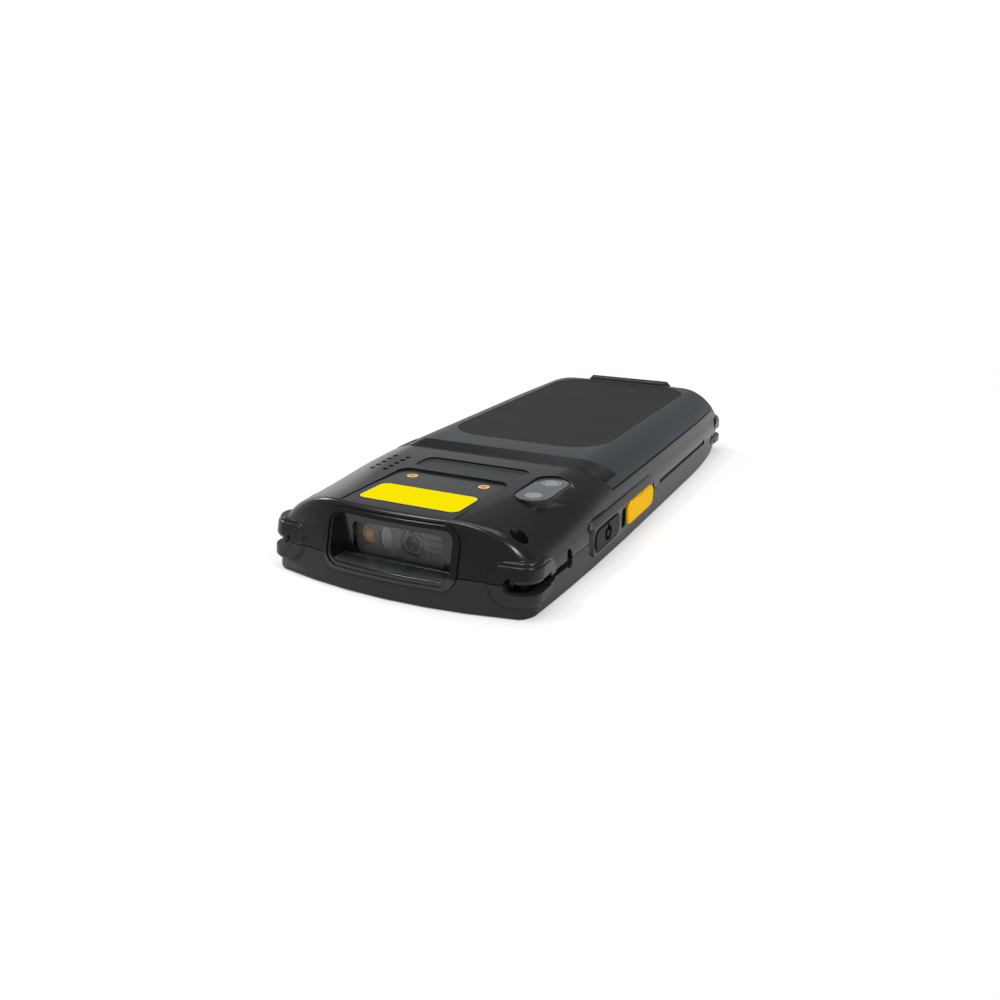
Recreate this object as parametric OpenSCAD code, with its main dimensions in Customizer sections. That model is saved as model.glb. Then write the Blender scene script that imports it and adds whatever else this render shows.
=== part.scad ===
/* [Housing] */
// Length over both ends of the housing
body_l = 169; // [166:1:180]
// Width over the straight sides
body_w = 72; // [71:0.5:76]
// Height of the rear face above the resting face
body_h = 20.8; // [20.6:0.1:22]
// Height of the rear face at the head end
head_h = 19.85; // [19.6:0.05:20]
// Height of the parting line between the two housings
part_z = 7.8; // [7.7:0.1:8.1]
// Thickness of the side and end walls
wall = 2; // [1.6:0.1:2.4]
// Thickness of the front wall behind the keys and the lens
front_t = 2.6; // [2.5:0.1:2.8]
// Thickness of the rear wall over the head cavity
roof_t = 1.9; // [1.7:0.1:2.2]
// Clearance between pieces that are seated in each other
seat_gap = 0.1; // [0.05:0.05:0.15]

/* [Housing curves] */
// Loss of half width at the head end
head_taper = 2; // [1.5:0.1:2.4]
// Loss of half width at the tail end
tail_taper = 1.2; // [0.8:0.1:2]
// Further loss of half width at the foot of the tail end
foot_taper = 2.2; // [1:0.1:2.4]
// Distance from the head to the widest section
widest_d = 98; // [90:1:105]
// Radius of the convex head and tail faces
end_r = 120; // [110:5:200]
// Radius of the vertical corners in plan
corner_r = 4; // [3:0.5:5]
// Radius of the ridge round the rear face at the ends
ridge_r = 1.2; // [0.8:0.1:1.6]
// Radius of the edge round the resting face
edge_r = 0.9; // [0.6:0.1:1.2]
// Half width of the flat rear face at the head
head_flat = 15; // [13:0.5:16]
// Half width of the flat rear face along the battery door
body_flat = 22.4; // [20:0.2:23]
// Half width of the flat rear face at the tail
tail_flat = 22; // [18:0.5:23]

/* [Corner strap eyelets] */
// Height of the rounded guard on each corner
guard_h = 9.6; // [9:0.2:10]
// Length of the guard, measured across the corner
guard_l = 17.2; // [16:0.2:18]
// How far the guard stands proud of the end face
guard_proud = 0.5; // [0.2:0.05:0.5]
// How far the guards at the head stand proud of the side
guard_side = 0.8; // [0.5:0.1:1]
// How far the guards at the tail stand proud of the side
tail_guard_side = 0.1; // [0:0.1:0.6]
// Plan radius of the guard
guard_r = 5; // [4.8:0.2:5.6]
// Height of the step along the guard's upper edge
guard_step = 0.8; // [0.6:0.1:1]
// Height of the slit under the corner post
slit_h = 2; // [1.6:0.1:2.2]
// Depth from the surface to the back of the cord passage
passage_depth = 3.8; // [3.4:0.1:4]
// Thickness of the corner post in front of the passage
post_t = 1.9; // [1.6:0.1:2.1]
// Height of the cord passage behind the post
passage_h = 3.6; // [3:0.1:4]

/* [Scan window] */
// Width of the bezel round the scan window
bezel_w = 35; // [34.6:0.2:36]
// Height of the bezel
bezel_h = 14.2; // [13.8:0.1:14.6]
// Width of the bezel's rim at the sides
bezel_rim = 1.8; // [1.5:0.1:1.9]
// Distance from the head to the window glass
window_d = 8; // [7.8:0.1:8.6]
// Width of the window glass
window_w = 27.4; // [26:0.2:27.6]
// Height of the window glass
window_h = 10; // [9.6:0.1:10]
// Thickness of the window glass
window_t = 1.2; // [1:0.1:1.4]

/* [Rear face] */
// Width of the flat seat for a hand-strap plate
panel_w = 30.4; // [29:0.2:32]
// Distance from the head to the end of the seat
panel_d = 34; // [33:0.2:34.6]
// Height of the seat above the resting face
panel_z = 19.8; // [19.6:0.05:19.8]
// Distance between the two threaded inserts
insert_pitch = 20; // [18:0.5:22]
// Distance from the head to the inserts
insert_d = 29.7; // [29:0.1:30.2]
// Radius of the hole in each insert
insert_bore = 0.8; // [0.7:0.05:0.9]
// Outer radius of each insert
insert_r = 1.45; // [1.3:0.05:1.6]
// Length of each insert
insert_l = 4; // [3.5:0.1:4.2]
// Width of the camera window
cam_w = 9.8; // [9:0.1:10]
// Length of the camera window
cam_l = 20.3; // [19:0.1:21]
// Distance from the side of the body to the middle of the camera window
cam_side = 12.6; // [12.2:0.1:13]
// Distance from the head to the middle of the camera window
cam_d = 34.2; // [33.6:0.1:34.6]
// Width of the label in front of the inserts
label_w = 26.2; // [22:0.2:27]
// Length of the label in front of the inserts
label_l = 11.6; // [10:0.2:12]
// Width of the rating label
rating_w = 29.2; // [26:0.2:30]
// Length of the rating label
rating_l = 8.6; // [8:0.2:9.6]
// Thickness of both labels
label_t = 0.15; // [0.1:0.05:0.2]
// Radius of each speaker hole
sound_r = 0.75; // [0.6:0.05:0.9]
// Distance between speaker holes along the body
sound_pitch = 2.7; // [2.4:0.1:3]

/* [Battery door] */
// Distance from the head to the front edge of the door
door_d = 51.3; // [51:0.1:52]
// Height of the seam along the door's sides
seam_z = 15; // [14.6:0.1:15.2]
// Gap round the battery door
door_gap = 0.25; // [0.2:0.05:0.3]
// Distance from the battery pack to the tail end
cell_tail = 17.2; // [17:0.2:20]
// Width of the battery pack
cell_w = 52; // [48:1:53]
// Height of the battery pack
cell_h = 8.8; // [8:0.1:8.9]
// Width of the grip pad on the door
pad_w = 47; // [45:0.2:49]
// Distance from the head to the pad
pad_d = 69.4; // [66:0.2:72]
// Thickness of the pad
pad_t = 0.45; // [0.4:0.05:0.6]

/* [Side keys] */
// Distance from the head to the key pod
pod_d = 35.2; // [34.8:0.1:36]
// Length of the key pod
pod_l = 48.4; // [47.5:0.1:49.5]
// Height of the key pod
pod_h = 8.95; // [8.7:0.05:9.2]
// How far the pod's face stands outside the straight sides
pod_proud = 0.1; // [0:0.05:0.3]
// Length of the power key and of the volume rocker
power_l = 17; // [15:0.5:18]
// Space between the two keys of a pod
key_space = 5.7; // [5.2:0.1:6.4]
// Height of the side keys
side_key_h = 5.9; // [5.6:0.1:6.2]
// Travel of the side keys
side_travel = 0.5; // [0.3:0.05:0.6]
// Swing of the volume rocker each way, in degrees
rocker_swing = 3; // [1:0.5:3]

/* [Keypad] */
// Distance from the last row of keys to the tail end
row_end = 17; // [16.5:0.5:17.5]
// Distance between rows of keys
row_pitch = 8.4; // [8:0.1:8.4]
// Length of a key along the body
key_l = 6.6; // [6:0.1:6.8]
// Distance between columns of number keys
col_pitch = 19; // [18.4:0.2:19.2]
// Width of a number key
key_w = 15.6; // [14:0.2:16]
// Distance between columns of arrow keys
arrow_pitch = 14; // [13.6:0.1:14.2]
// Width of an arrow key
arrow_w = 11.6; // [10:0.2:12]
// Travel of the front keys
key_travel = 0.5; // [0.3:0.05:0.6]
// Running gap round every moving key
key_gap = 0.2; // [0.15:0.05:0.25]

/* [Screen] */
// Gap between the front lens and the first row of keys
lens_gap = 4.1; // [3.6:0.1:6]
// Width of the front lens
lens_w = 62; // [60:0.5:63]
// Thickness of the front lens
lens_t = 1.1; // [0.9:0.1:1.2]
// Depth of the lens below the protective rim
lens_sunk = 0.4; // [0.3:0.05:0.5]
// How much shorter the display module is than the lens
display_short = 15; // [14:0.5:17]
// Width of the display module
display_w = 55.6; // [53:0.2:56]

/* [Connector cover] */
// Width of the hinged cover over the tail connector
cover_w = 31; // [28:0.5:32]
// Thickness of the cover
cover_t = 1.6; // [1.4:0.1:1.8]
// Height of the thumb lip above the rear face
lip_h = 1.3; // [1:0.1:1.6]
// Radius of the hinge pin
pin_r = 0.7; // [0.6:0.05:0.8]
// Opening angle of the cover, in degrees
cover_swing = 95; // [60:1:95]

/* [Hidden] */
$fn = 48;
eps = 0.01;
far = 60;

// Shape of the housing ends, as depth behind the foremost point of each end
lean_low = 0.13;
lean_high = 0.27;
tail_lean_low = 0.1;
tail_lean_high = 0.25;
end_fade = 40;
crown_d = 70;
flat_fade = 50;
tail_fade = 35;
cols = 6;
upper_steps = 12;

// Heights of the stack inside, from the resting face
board_z = 6;
board_t = 1;
bay_floor_z = 9.6;
cavity_top = head_h - roof_t;
keyboard_z = front_t + 1.6;

// Plan of the cavities
cavity_head_x = 24;
cavity_head_d = 9.6;
cavity_block_d = 27.5;
cavity_tail_d = body_l - 9;
tail_block_d = body_l - cavity_block_d;
pod_floor_x = body_w / 2 - 2.4;
pod_wall_t = 1.8;

bezel_z = 11.6;
bezel_hole_z = 11.95;
bezel_hole_h = bezel_h - 3.2;
window_z = 10.95;
engine_z = 10.7;
pod_x = body_w / 2 + pod_proud;
key_z = part_z - 0.45;
pod_z = key_z + 0.6;
pod_top = pod_z + pod_h / 2;
cover_pivot_z = 5.4;
cover_pivot_d = body_l - 3;
cover_tilt = 11.9;
cover_in = 0.85;
knuckle_r = pin_r + 0.8;
lip_out = 0.6;
lip_l = 2.6;
lip_slant = 1.5;
cover_out = cover_in + cover_t;
cover_top = (body_h + lip_h - cover_pivot_z - (cover_out + lip_out) * sin(cover_tilt)) / cos(cover_tilt);
rim_t = 1.2;
bead_w = 0.9;
bead_proud = 0.35;
bezel_back_d = window_d + 1.3;
key_post = key_travel < 0.55 ? 0.85 : 0.8;
usb_z = board_z + board_t + 1.62;
usb_mouth_d = body_l - 4.2;
contact_x = [-11.4, -8.2, 8.2, 11.4];
contact_z = usb_z + 1.4;
contact_back_d = cavity_tail_d - 1.5;

// ---- outer form -----------------------------------------------------------

function mix(a, b, t) = a + (b - a) * t;
function ease(t) = let (c = min(max(t, 0), 1)) c * c * (3 - 2 * c);

// Half width, height of the rear face and half width of its flat at a distance from the head
function half_w(d) = body_w / 2 - (d < widest_d
    ? head_taper * pow((widest_d - d) / widest_d, 3)
    : tail_taper * pow((d - widest_d) / (body_l - widest_d), 4));
function rear_z(d) = mix(head_h, body_h, ease(d / crown_d));
function foot_w(d) = half_w(d)
    - foot_taper * pow(max(d - widest_d, 0) / (body_l - widest_d), 4);
function flat_half(d) = mix(head_flat, body_flat, ease(d / flat_fade))
    - (body_flat - tail_flat) * ease((d - body_l + tail_fade) / tail_fade);

// Depth of the convex, leaning end faces behind their foremost point
function lean(z, low, high) = low * min(z, part_z) + high * max(z - part_z, 0);
function head_in(x, z) = x * x / (2 * end_r) + lean(z, lean_low, lean_high);
function tail_in(x, z) = x * x / (2 * end_r + 60) + lean(z, tail_lean_low, tail_lean_high);

// Right half of a cross-section, from bottom to top, as [x, z]
function low_rows(d) = [
    for (a = [0:30:90]) [foot_w(d) - edge_r * (1 - sin(a)), edge_r * (1 - cos(a))],
    [half_w(d), part_z]
];
function high_rows(d) = [
    for (i = [0:upper_steps]) let (a = 90 * i / upper_steps)
        [mix(flat_half(d), half_w(d), cos(a)), mix(part_z, rear_z(d), sin(a))]
];

// Shrinks a section by a quarter round at depth s behind the end face
function round_in(s, r) = s >= r ? 0 : r - sqrt(r * r - pow(r - s, 2));
function shrunk(p, s, d) = [
    p[0] * (1 - round_in(s, corner_r) / half_w(d)),
    p[1] > part_z
        ? part_z + (p[1] - part_z) * (1 - round_in(s, ridge_r) / (rear_z(d) - part_z))
        : part_z - (part_z - p[1]) * (1 - round_in(s, edge_r) / part_z)
];

// Stations as [depth behind the end, 0 for head or 1 for tail]
stations = [
    for (a = [0:15:90]) [corner_r * (1 - cos(a)), 0],
    for (d = [7, 11, 16, 22, 30, 38, 48, 60, 78]) [d, 0],
    [widest_d, 0],
    for (d = [56, 44, 34, 26, 19, 13, 8]) [d, 1],
    for (a = [90:-15:0]) [corner_r * (1 - cos(a)), 1]
];
function station_d(s) = s[1] == 0 ? s[0] : body_l - s[0];
function placed(x, z, s) = let (fade = max(0, 1 - s[0] / end_fade)) [
    x,
    s[1] == 0 ? s[0] + head_in(x, z) * fade : body_l - s[0] - tail_in(x, z) * fade,
    z
];

// One closed ring: bottom row, right side, top row, left side
function ring(rows, s) = let (h = len(rows) - 1) [
    for (i = [0:cols]) placed(mix(-rows[0][0], rows[0][0], i / cols), rows[0][1], s),
    for (j = [1:h - 1]) placed(rows[j][0], rows[j][1], s),
    for (i = [cols:-1:0]) placed(mix(-rows[h][0], rows[h][0], i / cols), rows[h][1], s),
    for (j = [h - 1:-1:1]) placed(-rows[j][0], rows[j][1], s)
];
function cap_points(rows, s) = [
    for (j = [1:len(rows) - 2]) for (i = [1:cols - 1])
        placed(mix(-rows[j][0], rows[j][0], i / cols), rows[j][1], s)
];
// Index of a cap's grid point, on the ring that starts at base or in the cap's own points
function grid(j, i, h, base, inner) =
    j == 0 ? base + i
    : j == h ? base + 2 * cols + h - i
    : i == 0 ? base + 2 * cols + 2 * h - j
    : i == cols ? base + cols + j
    : inner + (j - 1) * (cols - 1) + i - 1;

module loft(sections) {
    h = len(sections[0]) - 1;
    n = 2 * cols + 2 * h;
    last = len(stations) - 1;
    head_inner = n * (last + 1);
    tail_inner = head_inner + (h - 1) * (cols - 1);
    points = [
        for (k = [0:last]) each ring(sections[k], stations[k]),
        each cap_points(sections[0], stations[0]),
        each cap_points(sections[last], stations[last])
    ];
    walls = [
        for (k = [0:last - 1]) for (i = [0:n - 1])
            let (a = k * n + i, b = k * n + (i + 1) % n, c = b + n, e = a + n)
            each [[a, b, c], [a, c, e]]
    ];
    caps = [
        for (j = [0:h - 1]) for (i = [0:cols - 1]) each
            let (a = grid(j, i, h, 0, head_inner), b = grid(j, i + 1, h, 0, head_inner),
                c = grid(j + 1, i + 1, h, 0, head_inner), e = grid(j + 1, i, h, 0, head_inner),
                t = n * last,
                p = grid(j, i, h, t, tail_inner), q = grid(j, i + 1, h, t, tail_inner),
                r = grid(j + 1, i + 1, h, t, tail_inner), u = grid(j + 1, i, h, t, tail_inner))
            [[a, e, c], [a, c, b], [p, q, r], [p, r, u]]
    ];
    polyhedron(points = points, faces = concat(walls, caps));
}

module low_form() {
    loft([for (s = stations) let (d = station_d(s)) [for (p = low_rows(d)) shrunk(p, s[0], d)]]);
}

module high_form() {
    loft([for (s = stations) let (d = station_d(s)) [for (p = high_rows(d)) shrunk(p, s[0], d)]]);
}

// ---- helpers --------------------------------------------------------------

// Puts its children from "distance from the head" into the part's frame
module from_head() {
    translate([0, -body_l / 2, 0]) children();
}

// Mirrors its children from the head end to the tail end
module at_tail() {
    translate([0, body_l, 0]) mirror([0, 1, 0]) children();
}

module both_sides() {
    children();
    mirror([1, 0, 0]) children();
}

module slab(x0, x1, y0, y1, z0, z1) {
    translate([x0, y0, z0]) cube([x1 - x0, y1 - y0, z1 - z0]);
}

// Rectangle with true round corners, about its centre
module round_rect(w, l, r) {
    square([w - 2 * r, l], center = true);
    square([w, l - 2 * r], center = true);
    for (x = [-1, 1]) {
        for (y = [-1, 1]) {
            translate([x * (w / 2 - r), y * (l / 2 - r)]) circle(r);
        }
    }
}

// Rounded plate lying in the rear or front face
module plate(x, d, w, l, r, z0, z1) {
    translate([x, d, z0]) linear_extrude(z1 - z0) round_rect(w, l, r);
}

// Rounded plate standing in the head or tail face, thickness along the body
module upright(x, z, w, h, r, d0, d1) {
    translate([x, d1, z]) rotate([90, 0, 0]) linear_extrude(d1 - d0) round_rect(w, h, r);
}

// Rounded plate standing in the right side, thickness outwards
module side_plate(d, z, l, h, r, x0, x1) {
    translate([x0, d, z]) rotate([90, 0, 90]) linear_extrude(x1 - x0) round_rect(l, h, r);
}

module side_post(d, z, r, x0, x1) {
    translate([x0, d, z]) rotate([0, 90, 0]) cylinder(r = r, h = x1 - x0);
}

// ---- corner eyelets -------------------------------------------------------

guard_z = part_z;
guard_from_x = 23.3;
guard_far_d = 18;
eyelet_x = 27.9;
guard_ledge = 0.35;
eyelet_in = 24;
tail_eyelet_in = 19.2;
mouth_h = 4.6;
mouth_rise = 2.1;
tail_mouth_h = 3.6;
tail_mouth_rise = 0.7;
eyelet_jog = 13;
slit_z = part_z - slit_h;

// Plan of a guard: its sloping end face, its side face and the round between them
function guard_x() = half_w(7) + guard_side;
function tail_guard_x() = half_w(body_l - 7) + tail_guard_side;
function side_x(tail) = tail ? tail_guard_x() : guard_x();
function end_y(tail) = (tail ? tail_in(guard_from_x, part_z) : head_in(guard_from_x, part_z))
    - guard_proud;
function end_turn(tail) = atan(2 * guard_from_x / (2 * end_r + (tail ? 60 : 0)) * 0.88);
function end_lean(tail, z) = (tail ? lean(z, tail_lean_low, tail_lean_high)
    - lean(part_z, tail_lean_low, tail_lean_high)
    : lean(z, lean_low, lean_high) - lean(part_z, lean_low, lean_high));
function guard_centre(tail) = let (
    t = end_turn(tail),
    x = side_x(tail) - guard_r,
    c = sin(t) * guard_from_x - cos(t) * end_y(tail)
) [x, (sin(t) * x + guard_r - c) / cos(t)];

// Outline drawn in by a depth behind the guard's surface, as [x, distance from the end]
function guard_outline(tail, depth) = let (
    c = guard_centre(tail), r = guard_r - depth, t = end_turn(tail)
) [
    let (reach = c[0] + r * sin(t) - 18)
        [18, c[1] - r * cos(t) - reach * tan(t)],
    for (a = [t - 90:(90 - t) / 10:0.001]) [c[0] + r * cos(a), c[1] + r * sin(a)],
    [c[0] + r, guard_far_d], [18, guard_far_d]
];

// Solid through outlines at several heights, given as [height, depth]
module guard_stack(tail, rows) {
    n = len(guard_outline(tail, 0));
    last = len(rows) - 1;
    points = [
        for (row = rows) for (p = guard_outline(tail, row[1]))
            [p[0], p[1] + end_lean(tail, row[0]), row[0]]
    ];
    polyhedron(points = points, faces = [
        [for (i = [0:n - 1]) i],
        for (k = [0:last - 1]) for (i = [0:n - 1])
            let (a = k * n + i, b = k * n + (i + 1) % n)
            each [[a, a + n, b + n], [a, b + n, b]],
        [for (i = [n - 1:-1:0]) last * n + i]
    ]);
}

// Stadium seen along the corner's diagonal
module guard_stadium(tail, drop) {
    c = guard_centre(tail);
    back = guard_r - 3.7;
    h = guard_h - 2 * drop;
    translate([c[0] + back, c[1] - back, guard_z]) rotate([0, 0, 45]) rotate([90, 0, 0])
        linear_extrude(40, center = true) round_rect(guard_l - 2 * drop, h, h / 2 - 0.01);
}

module guard_lobe(tail, z0, z1) {
    low = guard_z - guard_h / 2;
    top = guard_z + guard_h / 2;
    inner_top = top - guard_step;
    intersection() {
        slab(0, far, -5, far, z0, z1);
        union() {
            // Outer step of the guard
            intersection() {
                guard_stack(tail, [
                    [low - 0.1, guard_ledge + 0.55], [low + 0.1, guard_ledge + 0.2],
                    [low + 0.5, guard_ledge], [part_z, guard_ledge], [top - 0.4, guard_ledge],
                    [top - 0.1, guard_ledge + 0.2], [top + 0.1, guard_ledge + 0.55]
                ]);
                guard_stadium(tail, 0);
            }
            // Raised face of the guard
            intersection() {
                guard_stack(tail, [
                    [low, 0.6], [low + 0.3, 0.25], [low + 0.8, 0], [part_z, 0],
                    [inner_top - 0.5, 0], [inner_top - 0.15, 0.15], [inner_top + 0.1, 0.6]
                ]);
                guard_stadium(tail, guard_step / 2);
            }
        }
    }
}

// Ring-shaped room behind the guard's surface, between two depths
module guard_band(tail, d0, d1, z0, z1, y1) {
    intersection() {
        translate([0, 0, z0]) linear_extrude(z1 - z0) difference() {
            polygon(guard_outline(tail, d0));
            polygon(guard_outline(tail, d1));
        }
        slab(eyelet_x + 1, far, -5, y1, 0, far);
    }
}

// Slit and cord passage round a right-hand corner, with the two mouths it ends in
module eyelet_cut(tail) {
    passage_z = slit_z - 0.2;
    c = guard_centre(tail);
    back_x = c[0] + guard_r - passage_depth;
    play = 0.03;
    mouth_in = tail ? tail_eyelet_in : eyelet_in;
    guard_band(tail, -3, passage_depth, slit_z, part_z, eyelet_jog);
    slab(back_x + play, far, eyelet_jog - 1, mouth_in, slit_z + 0.5, part_z + 0.05);
    guard_band(tail, post_t, passage_depth, passage_z, passage_z + passage_h, guard_far_d);
    slab(back_x + play, c[0] + guard_r - post_t - play, guard_far_d - 1, mouth_in,
        passage_z + play, passage_z + passage_h - play);
    // Rounded lower edge of the post
    difference() {
        slab(c[0], far, -5, eyelet_jog, part_z - 0.1, part_z + 1.1);
        guard_stack(tail, [
            [part_z - 1, 1.4], [part_z, 0.95], [part_z + 0.3, 0.5], [part_z + 0.7, 0.2],
            [part_z + 1.2, 0]
        ]);
    }
    // Crescent mouth in the end face, round the foot of the post
    intersection() {
        slab(0, c[0], -5, c[1] - guard_r + passage_depth + 1, 0, far);
        difference() {
            upright(eyelet_x + 4, slit_z + passage_h / 2, 8, passage_h, 1.7, -5, 20);
            upright(eyelet_x + 5.4, part_z + 3, 8, 6, 1.3, -6, 21);
        }
    }
    // Upright mouth in the side
    side_plate(mouth_in, slit_z + (tail ? tail_mouth_rise : mouth_rise), 2.4,
        tail ? tail_mouth_h : mouth_h, 1.1, back_x - play, far);
}

module all_corners() {
    both_sides() {
        eyelet_cut(false);
        at_tail() eyelet_cut(true);
    }
}

module all_guards(z0, z1) {
    both_sides() {
        guard_lobe(false, z0, z1);
        at_tail() guard_lobe(true, z0, z1);
    }
}

// ---- screws ---------------------------------------------------------------

screw_x = 28.1;
tail_screw_x = 29.4;
screw_in = 11.2;
screw_r = 0.9;
screw_head_r = 1.8;
screw_seat_z = 11.4;
screw_tip_z = 3.4;
well_r = 2.1;

module at_screws() {
    for (side = [-1, 1]) {
        translate([side * screw_x, screw_in, 0]) children();
        translate([side * tail_screw_x, body_l - screw_in, 0]) children();
    }
}

module screw_cut() {
    at_screws() {
        translate([0, 0, screw_tip_z - seat_gap]) cylinder(r = screw_r + seat_gap / 2, h = far);
        translate([0, 0, screw_seat_z]) cylinder(r = well_r, h = far);
    }
}

// ---- cavities -------------------------------------------------------------

// Plan of the cavity grown by g, with solid corner blocks for screws and eyelets
function cavity_half(g) = [
    [cavity_head_x + g, cavity_head_d - g],
    [cavity_head_x + g, cavity_block_d - g],
    [half_w(cavity_block_d) - wall + g, cavity_block_d - g],
    [half_w(pod_d - 2) - wall + g, pod_d - 2 + g],
    [pod_floor_x - pod_wall_t + g, pod_d - 2 + g],
    [pod_floor_x - pod_wall_t + g, pod_d + pod_l + 2 - g],
    [half_w(pod_d + pod_l + 2) - wall + g, pod_d + pod_l + 2 - g],
    [half_w(115) - wall + g, 115],
    [half_w(tail_block_d) - wall + g, tail_block_d + g],
    [cavity_head_x + g, tail_block_d + g],
    [cavity_head_x + g, cavity_tail_d + g]
];
module cavity_plan(g) {
    half = cavity_half(g);
    count = len(half);
    polygon([
        for (p = half) p,
        for (i = [count - 1:-1:0]) [-half[i][0], half[i][1]]
    ]);
}

// Section of the battery and of the hollow that holds it, grown by g
module cell_section(g, top) {
    slope = 2.2;
    x = cell_w / 2 + g;
    polygon([
        [-x, bay_floor_z], [x, bay_floor_z], [x, top - slope],
        [x - slope, top], [slope - x, top], [-x, top - slope]
    ]);
}
module cell_form(g, d0, d1, top) {
    translate([0, d1, 0]) rotate([90, 0, 0]) linear_extrude(d1 - d0) cell_section(g, top);
}
cell_d = door_d + 8.5;
cell_l = body_l - cell_tail - cell_d;
cell_top = bay_floor_z + cell_h;

// Plan of everything behind the battery door's front edge, moved back by g
function door_edge(x) = door_d + 0.036 * pow(max(abs(x) - body_flat, 0), 2);
module door_plan(g) {
    polygon([
        for (x = [-38:4:38]) [x, door_edge(x) + g],
        [38, body_l + 5], [-38, body_l + 5]
    ]);
}

module pod_pocket(g) {
    side_plate(pod_d + pod_l / 2, pod_z, pod_l + 2 * g, pod_h + 2 * g, 4, pod_floor_x, far);
}

pod_front = 2;
pod_back = 2.5;
power_d = pod_d + pod_front + power_l / 2;
scan_l = pod_l - power_l - key_space - pod_front - pod_back;
scan_d = pod_d + pod_l - pod_back - scan_l / 2;
flange_x0 = pod_floor_x + side_travel + 0.15;
flange_x1 = flange_x0 + 0.6;
scan_proud = 0.6;
rocker_arm = 6;
rocker_x = pod_x - 1;
axle_r = 0.7;
axle_l = side_key_h / 2 + 0.5;
post_r = 1.5;
post_gap = 0.35;
side_post_tip = pod_floor_x - pod_wall_t - 0.4;

// Holes behind the side pods that the key posts reach through
module post_holes(rocker) {
    posts = rocker ? [power_d - rocker_arm, power_d + rocker_arm, scan_d] : [power_d, scan_d];
    for (d = posts) {
        side_post(d, key_z, post_r + post_gap, 20, pod_floor_x + 1);
    }
}

module side_openings() {
    pod_pocket(seat_gap);
    post_holes(false);
    mirror([1, 0, 0]) {
        pod_pocket(seat_gap);
        post_holes(true);
    }
}

// Pocket in the tail face for the hinged cover, its swing and its pin
module cover_pocket() {
    reach = cover_w / 2 + 0.2;
    swing_r = cover_out + 0.2;
    translate([0, cover_pivot_d, cover_pivot_z]) {
        rotate([cover_tilt, 0, 0]) slab(-reach, reach, cover_in - 0.4, 12, 0, 30);
        rotate([0, 90, 0]) cylinder(r = swing_r, h = 2 * reach, center = true);
        slab(-reach, reach, 0, 10, -swing_r, 9);
        rotate([0, 90, 0]) cylinder(r = pin_r + 0.05, h = cover_w + 5.2, center = true);
    }
}

// Room for the socket on the main board, open to the tail
module socket_room() {
    upright(0, usb_z, 9.4, 3.6, 1.7, usb_mouth_d - 8, body_l);
}

// Solid behind the convex head face, moved back by g
module behind_face(g) {
    module leaning(slope) {
        turn = atan(slope);
        translate([0, end_r / cos(turn) + g + lean_low * part_z, part_z]) rotate([-turn, 0, 0])
            cylinder(r = end_r, h = 2 * far, center = true, $fn = 200);
    }
    intersection() {
        leaning(lean_low);
        leaning(lean_high);
    }
}

// Seat of the scan bezel: its rim lies in the face, its body goes through the wall
module bezel_pocket() {
    upright(0, bezel_z, bezel_w - 1.6 + 2 * seat_gap, bezel_h - 1.2 + 2 * seat_gap, 3.6, -5,
        cavity_head_d + eps);
    difference() {
        upright(0, bezel_z, bezel_w + 2 * seat_gap, bezel_h + 2 * seat_gap, 4.2, -5, 8);
        behind_face(rim_t + seat_gap);
    }
}

// ---- front housing --------------------------------------------------------

keypad_in = 0.9;
keypad_rows = 6;
row_d = body_l - row_end - row_pitch * (keypad_rows - 1);
keypad_l = row_pitch * (keypad_rows - 1) + key_l + 6;
keyboard_w = 2 * col_pitch + key_w + 2;
keyboard_l = row_pitch * (keypad_rows - 1) + key_l + 1.6;
keyboard_t = 0.9;
keypad_mid = row_d + row_pitch * (keypad_rows - 1) / 2;
lens_d = 6.6;
lens_l = row_d - key_l / 2 - lens_gap - lens_d;
display_l = lens_l - display_short;
display_d = lens_d + lens_l - display_l - 2.6;
earpiece_d = lens_d + 7;

function row_at(i) = row_d + row_pitch * i;

// Every front key as [column x, row, width]
number_keys = [for (r = [2:5]) for (c = [-1:1]) [c * col_pitch, r, key_w]];
arrow_keys = [for (c = [-1.5:1:1.5]) [c * arrow_pitch, 1, arrow_w]];
top_keys = [for (c = [-1:1]) [c * col_pitch, 0, key_w]];
all_keys = concat(top_keys, arrow_keys, number_keys);

module front_housing() {
    color("#1b1c1e") from_head() difference() {
        union() {
            low_form();
            all_guards(0, part_z);
        }
        translate([0, 0, front_t]) linear_extrude(far) cavity_plan(0);
        translate([0, 0, part_z - 0.6]) linear_extrude(far) cavity_plan(1.1);
        plate(0, lens_d + lens_l / 2, lens_w + 2 * seat_gap, lens_l + 2 * seat_gap, 5, -1,
            lens_sunk + lens_t);
        plate(0, display_d + display_l / 2, display_w + 2 * seat_gap, display_l + 2 * seat_gap, 1,
            0, far);
        plate(0, earpiece_d, 14, 4.4, 1, 0, far);
        plate(0, keypad_mid, 2 * col_pitch + key_w + 4.6, keypad_l, 5, -1, keypad_in);
        for (k = all_keys) {
            plate(k[0], row_at(k[1]), k[2] + 2 * key_gap, key_l + 2 * key_gap, 2 + key_gap, 0,
                far);
        }
        // Room behind the keys for their flanges and the key board
        plate(0, keypad_mid, keyboard_w + 2 * seat_gap, keyboard_l + 2 * seat_gap, 1.6, front_t,
            keyboard_z + keyboard_t + seat_gap);
        side_openings();
        bezel_pocket();
        screw_cut();
        all_corners();
        cover_pocket();
        socket_room();
    }
}

// ---- rear housing ---------------------------------------------------------

camera_seat_z = 20;
cam_x = body_w / 2 - cam_side;
label_x = 0.2;
label_d = 15.2;
label_r = 2.5;
rating_x = 1;
rating_d = panel_d + 6.4;
rating_z = panel_z + 0.1;
cam_far = cam_l / 2 - cam_w / 2;

module obround(x, d, w, l, z0, z1) {
    translate([x, d, z0]) linear_extrude(z1 - z0) {
        square([w, l - w], center = true);
        for (y = [-1, 1]) {
            translate([0, y * (l - w) / 2]) circle(w / 2);
        }
    }
}

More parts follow.
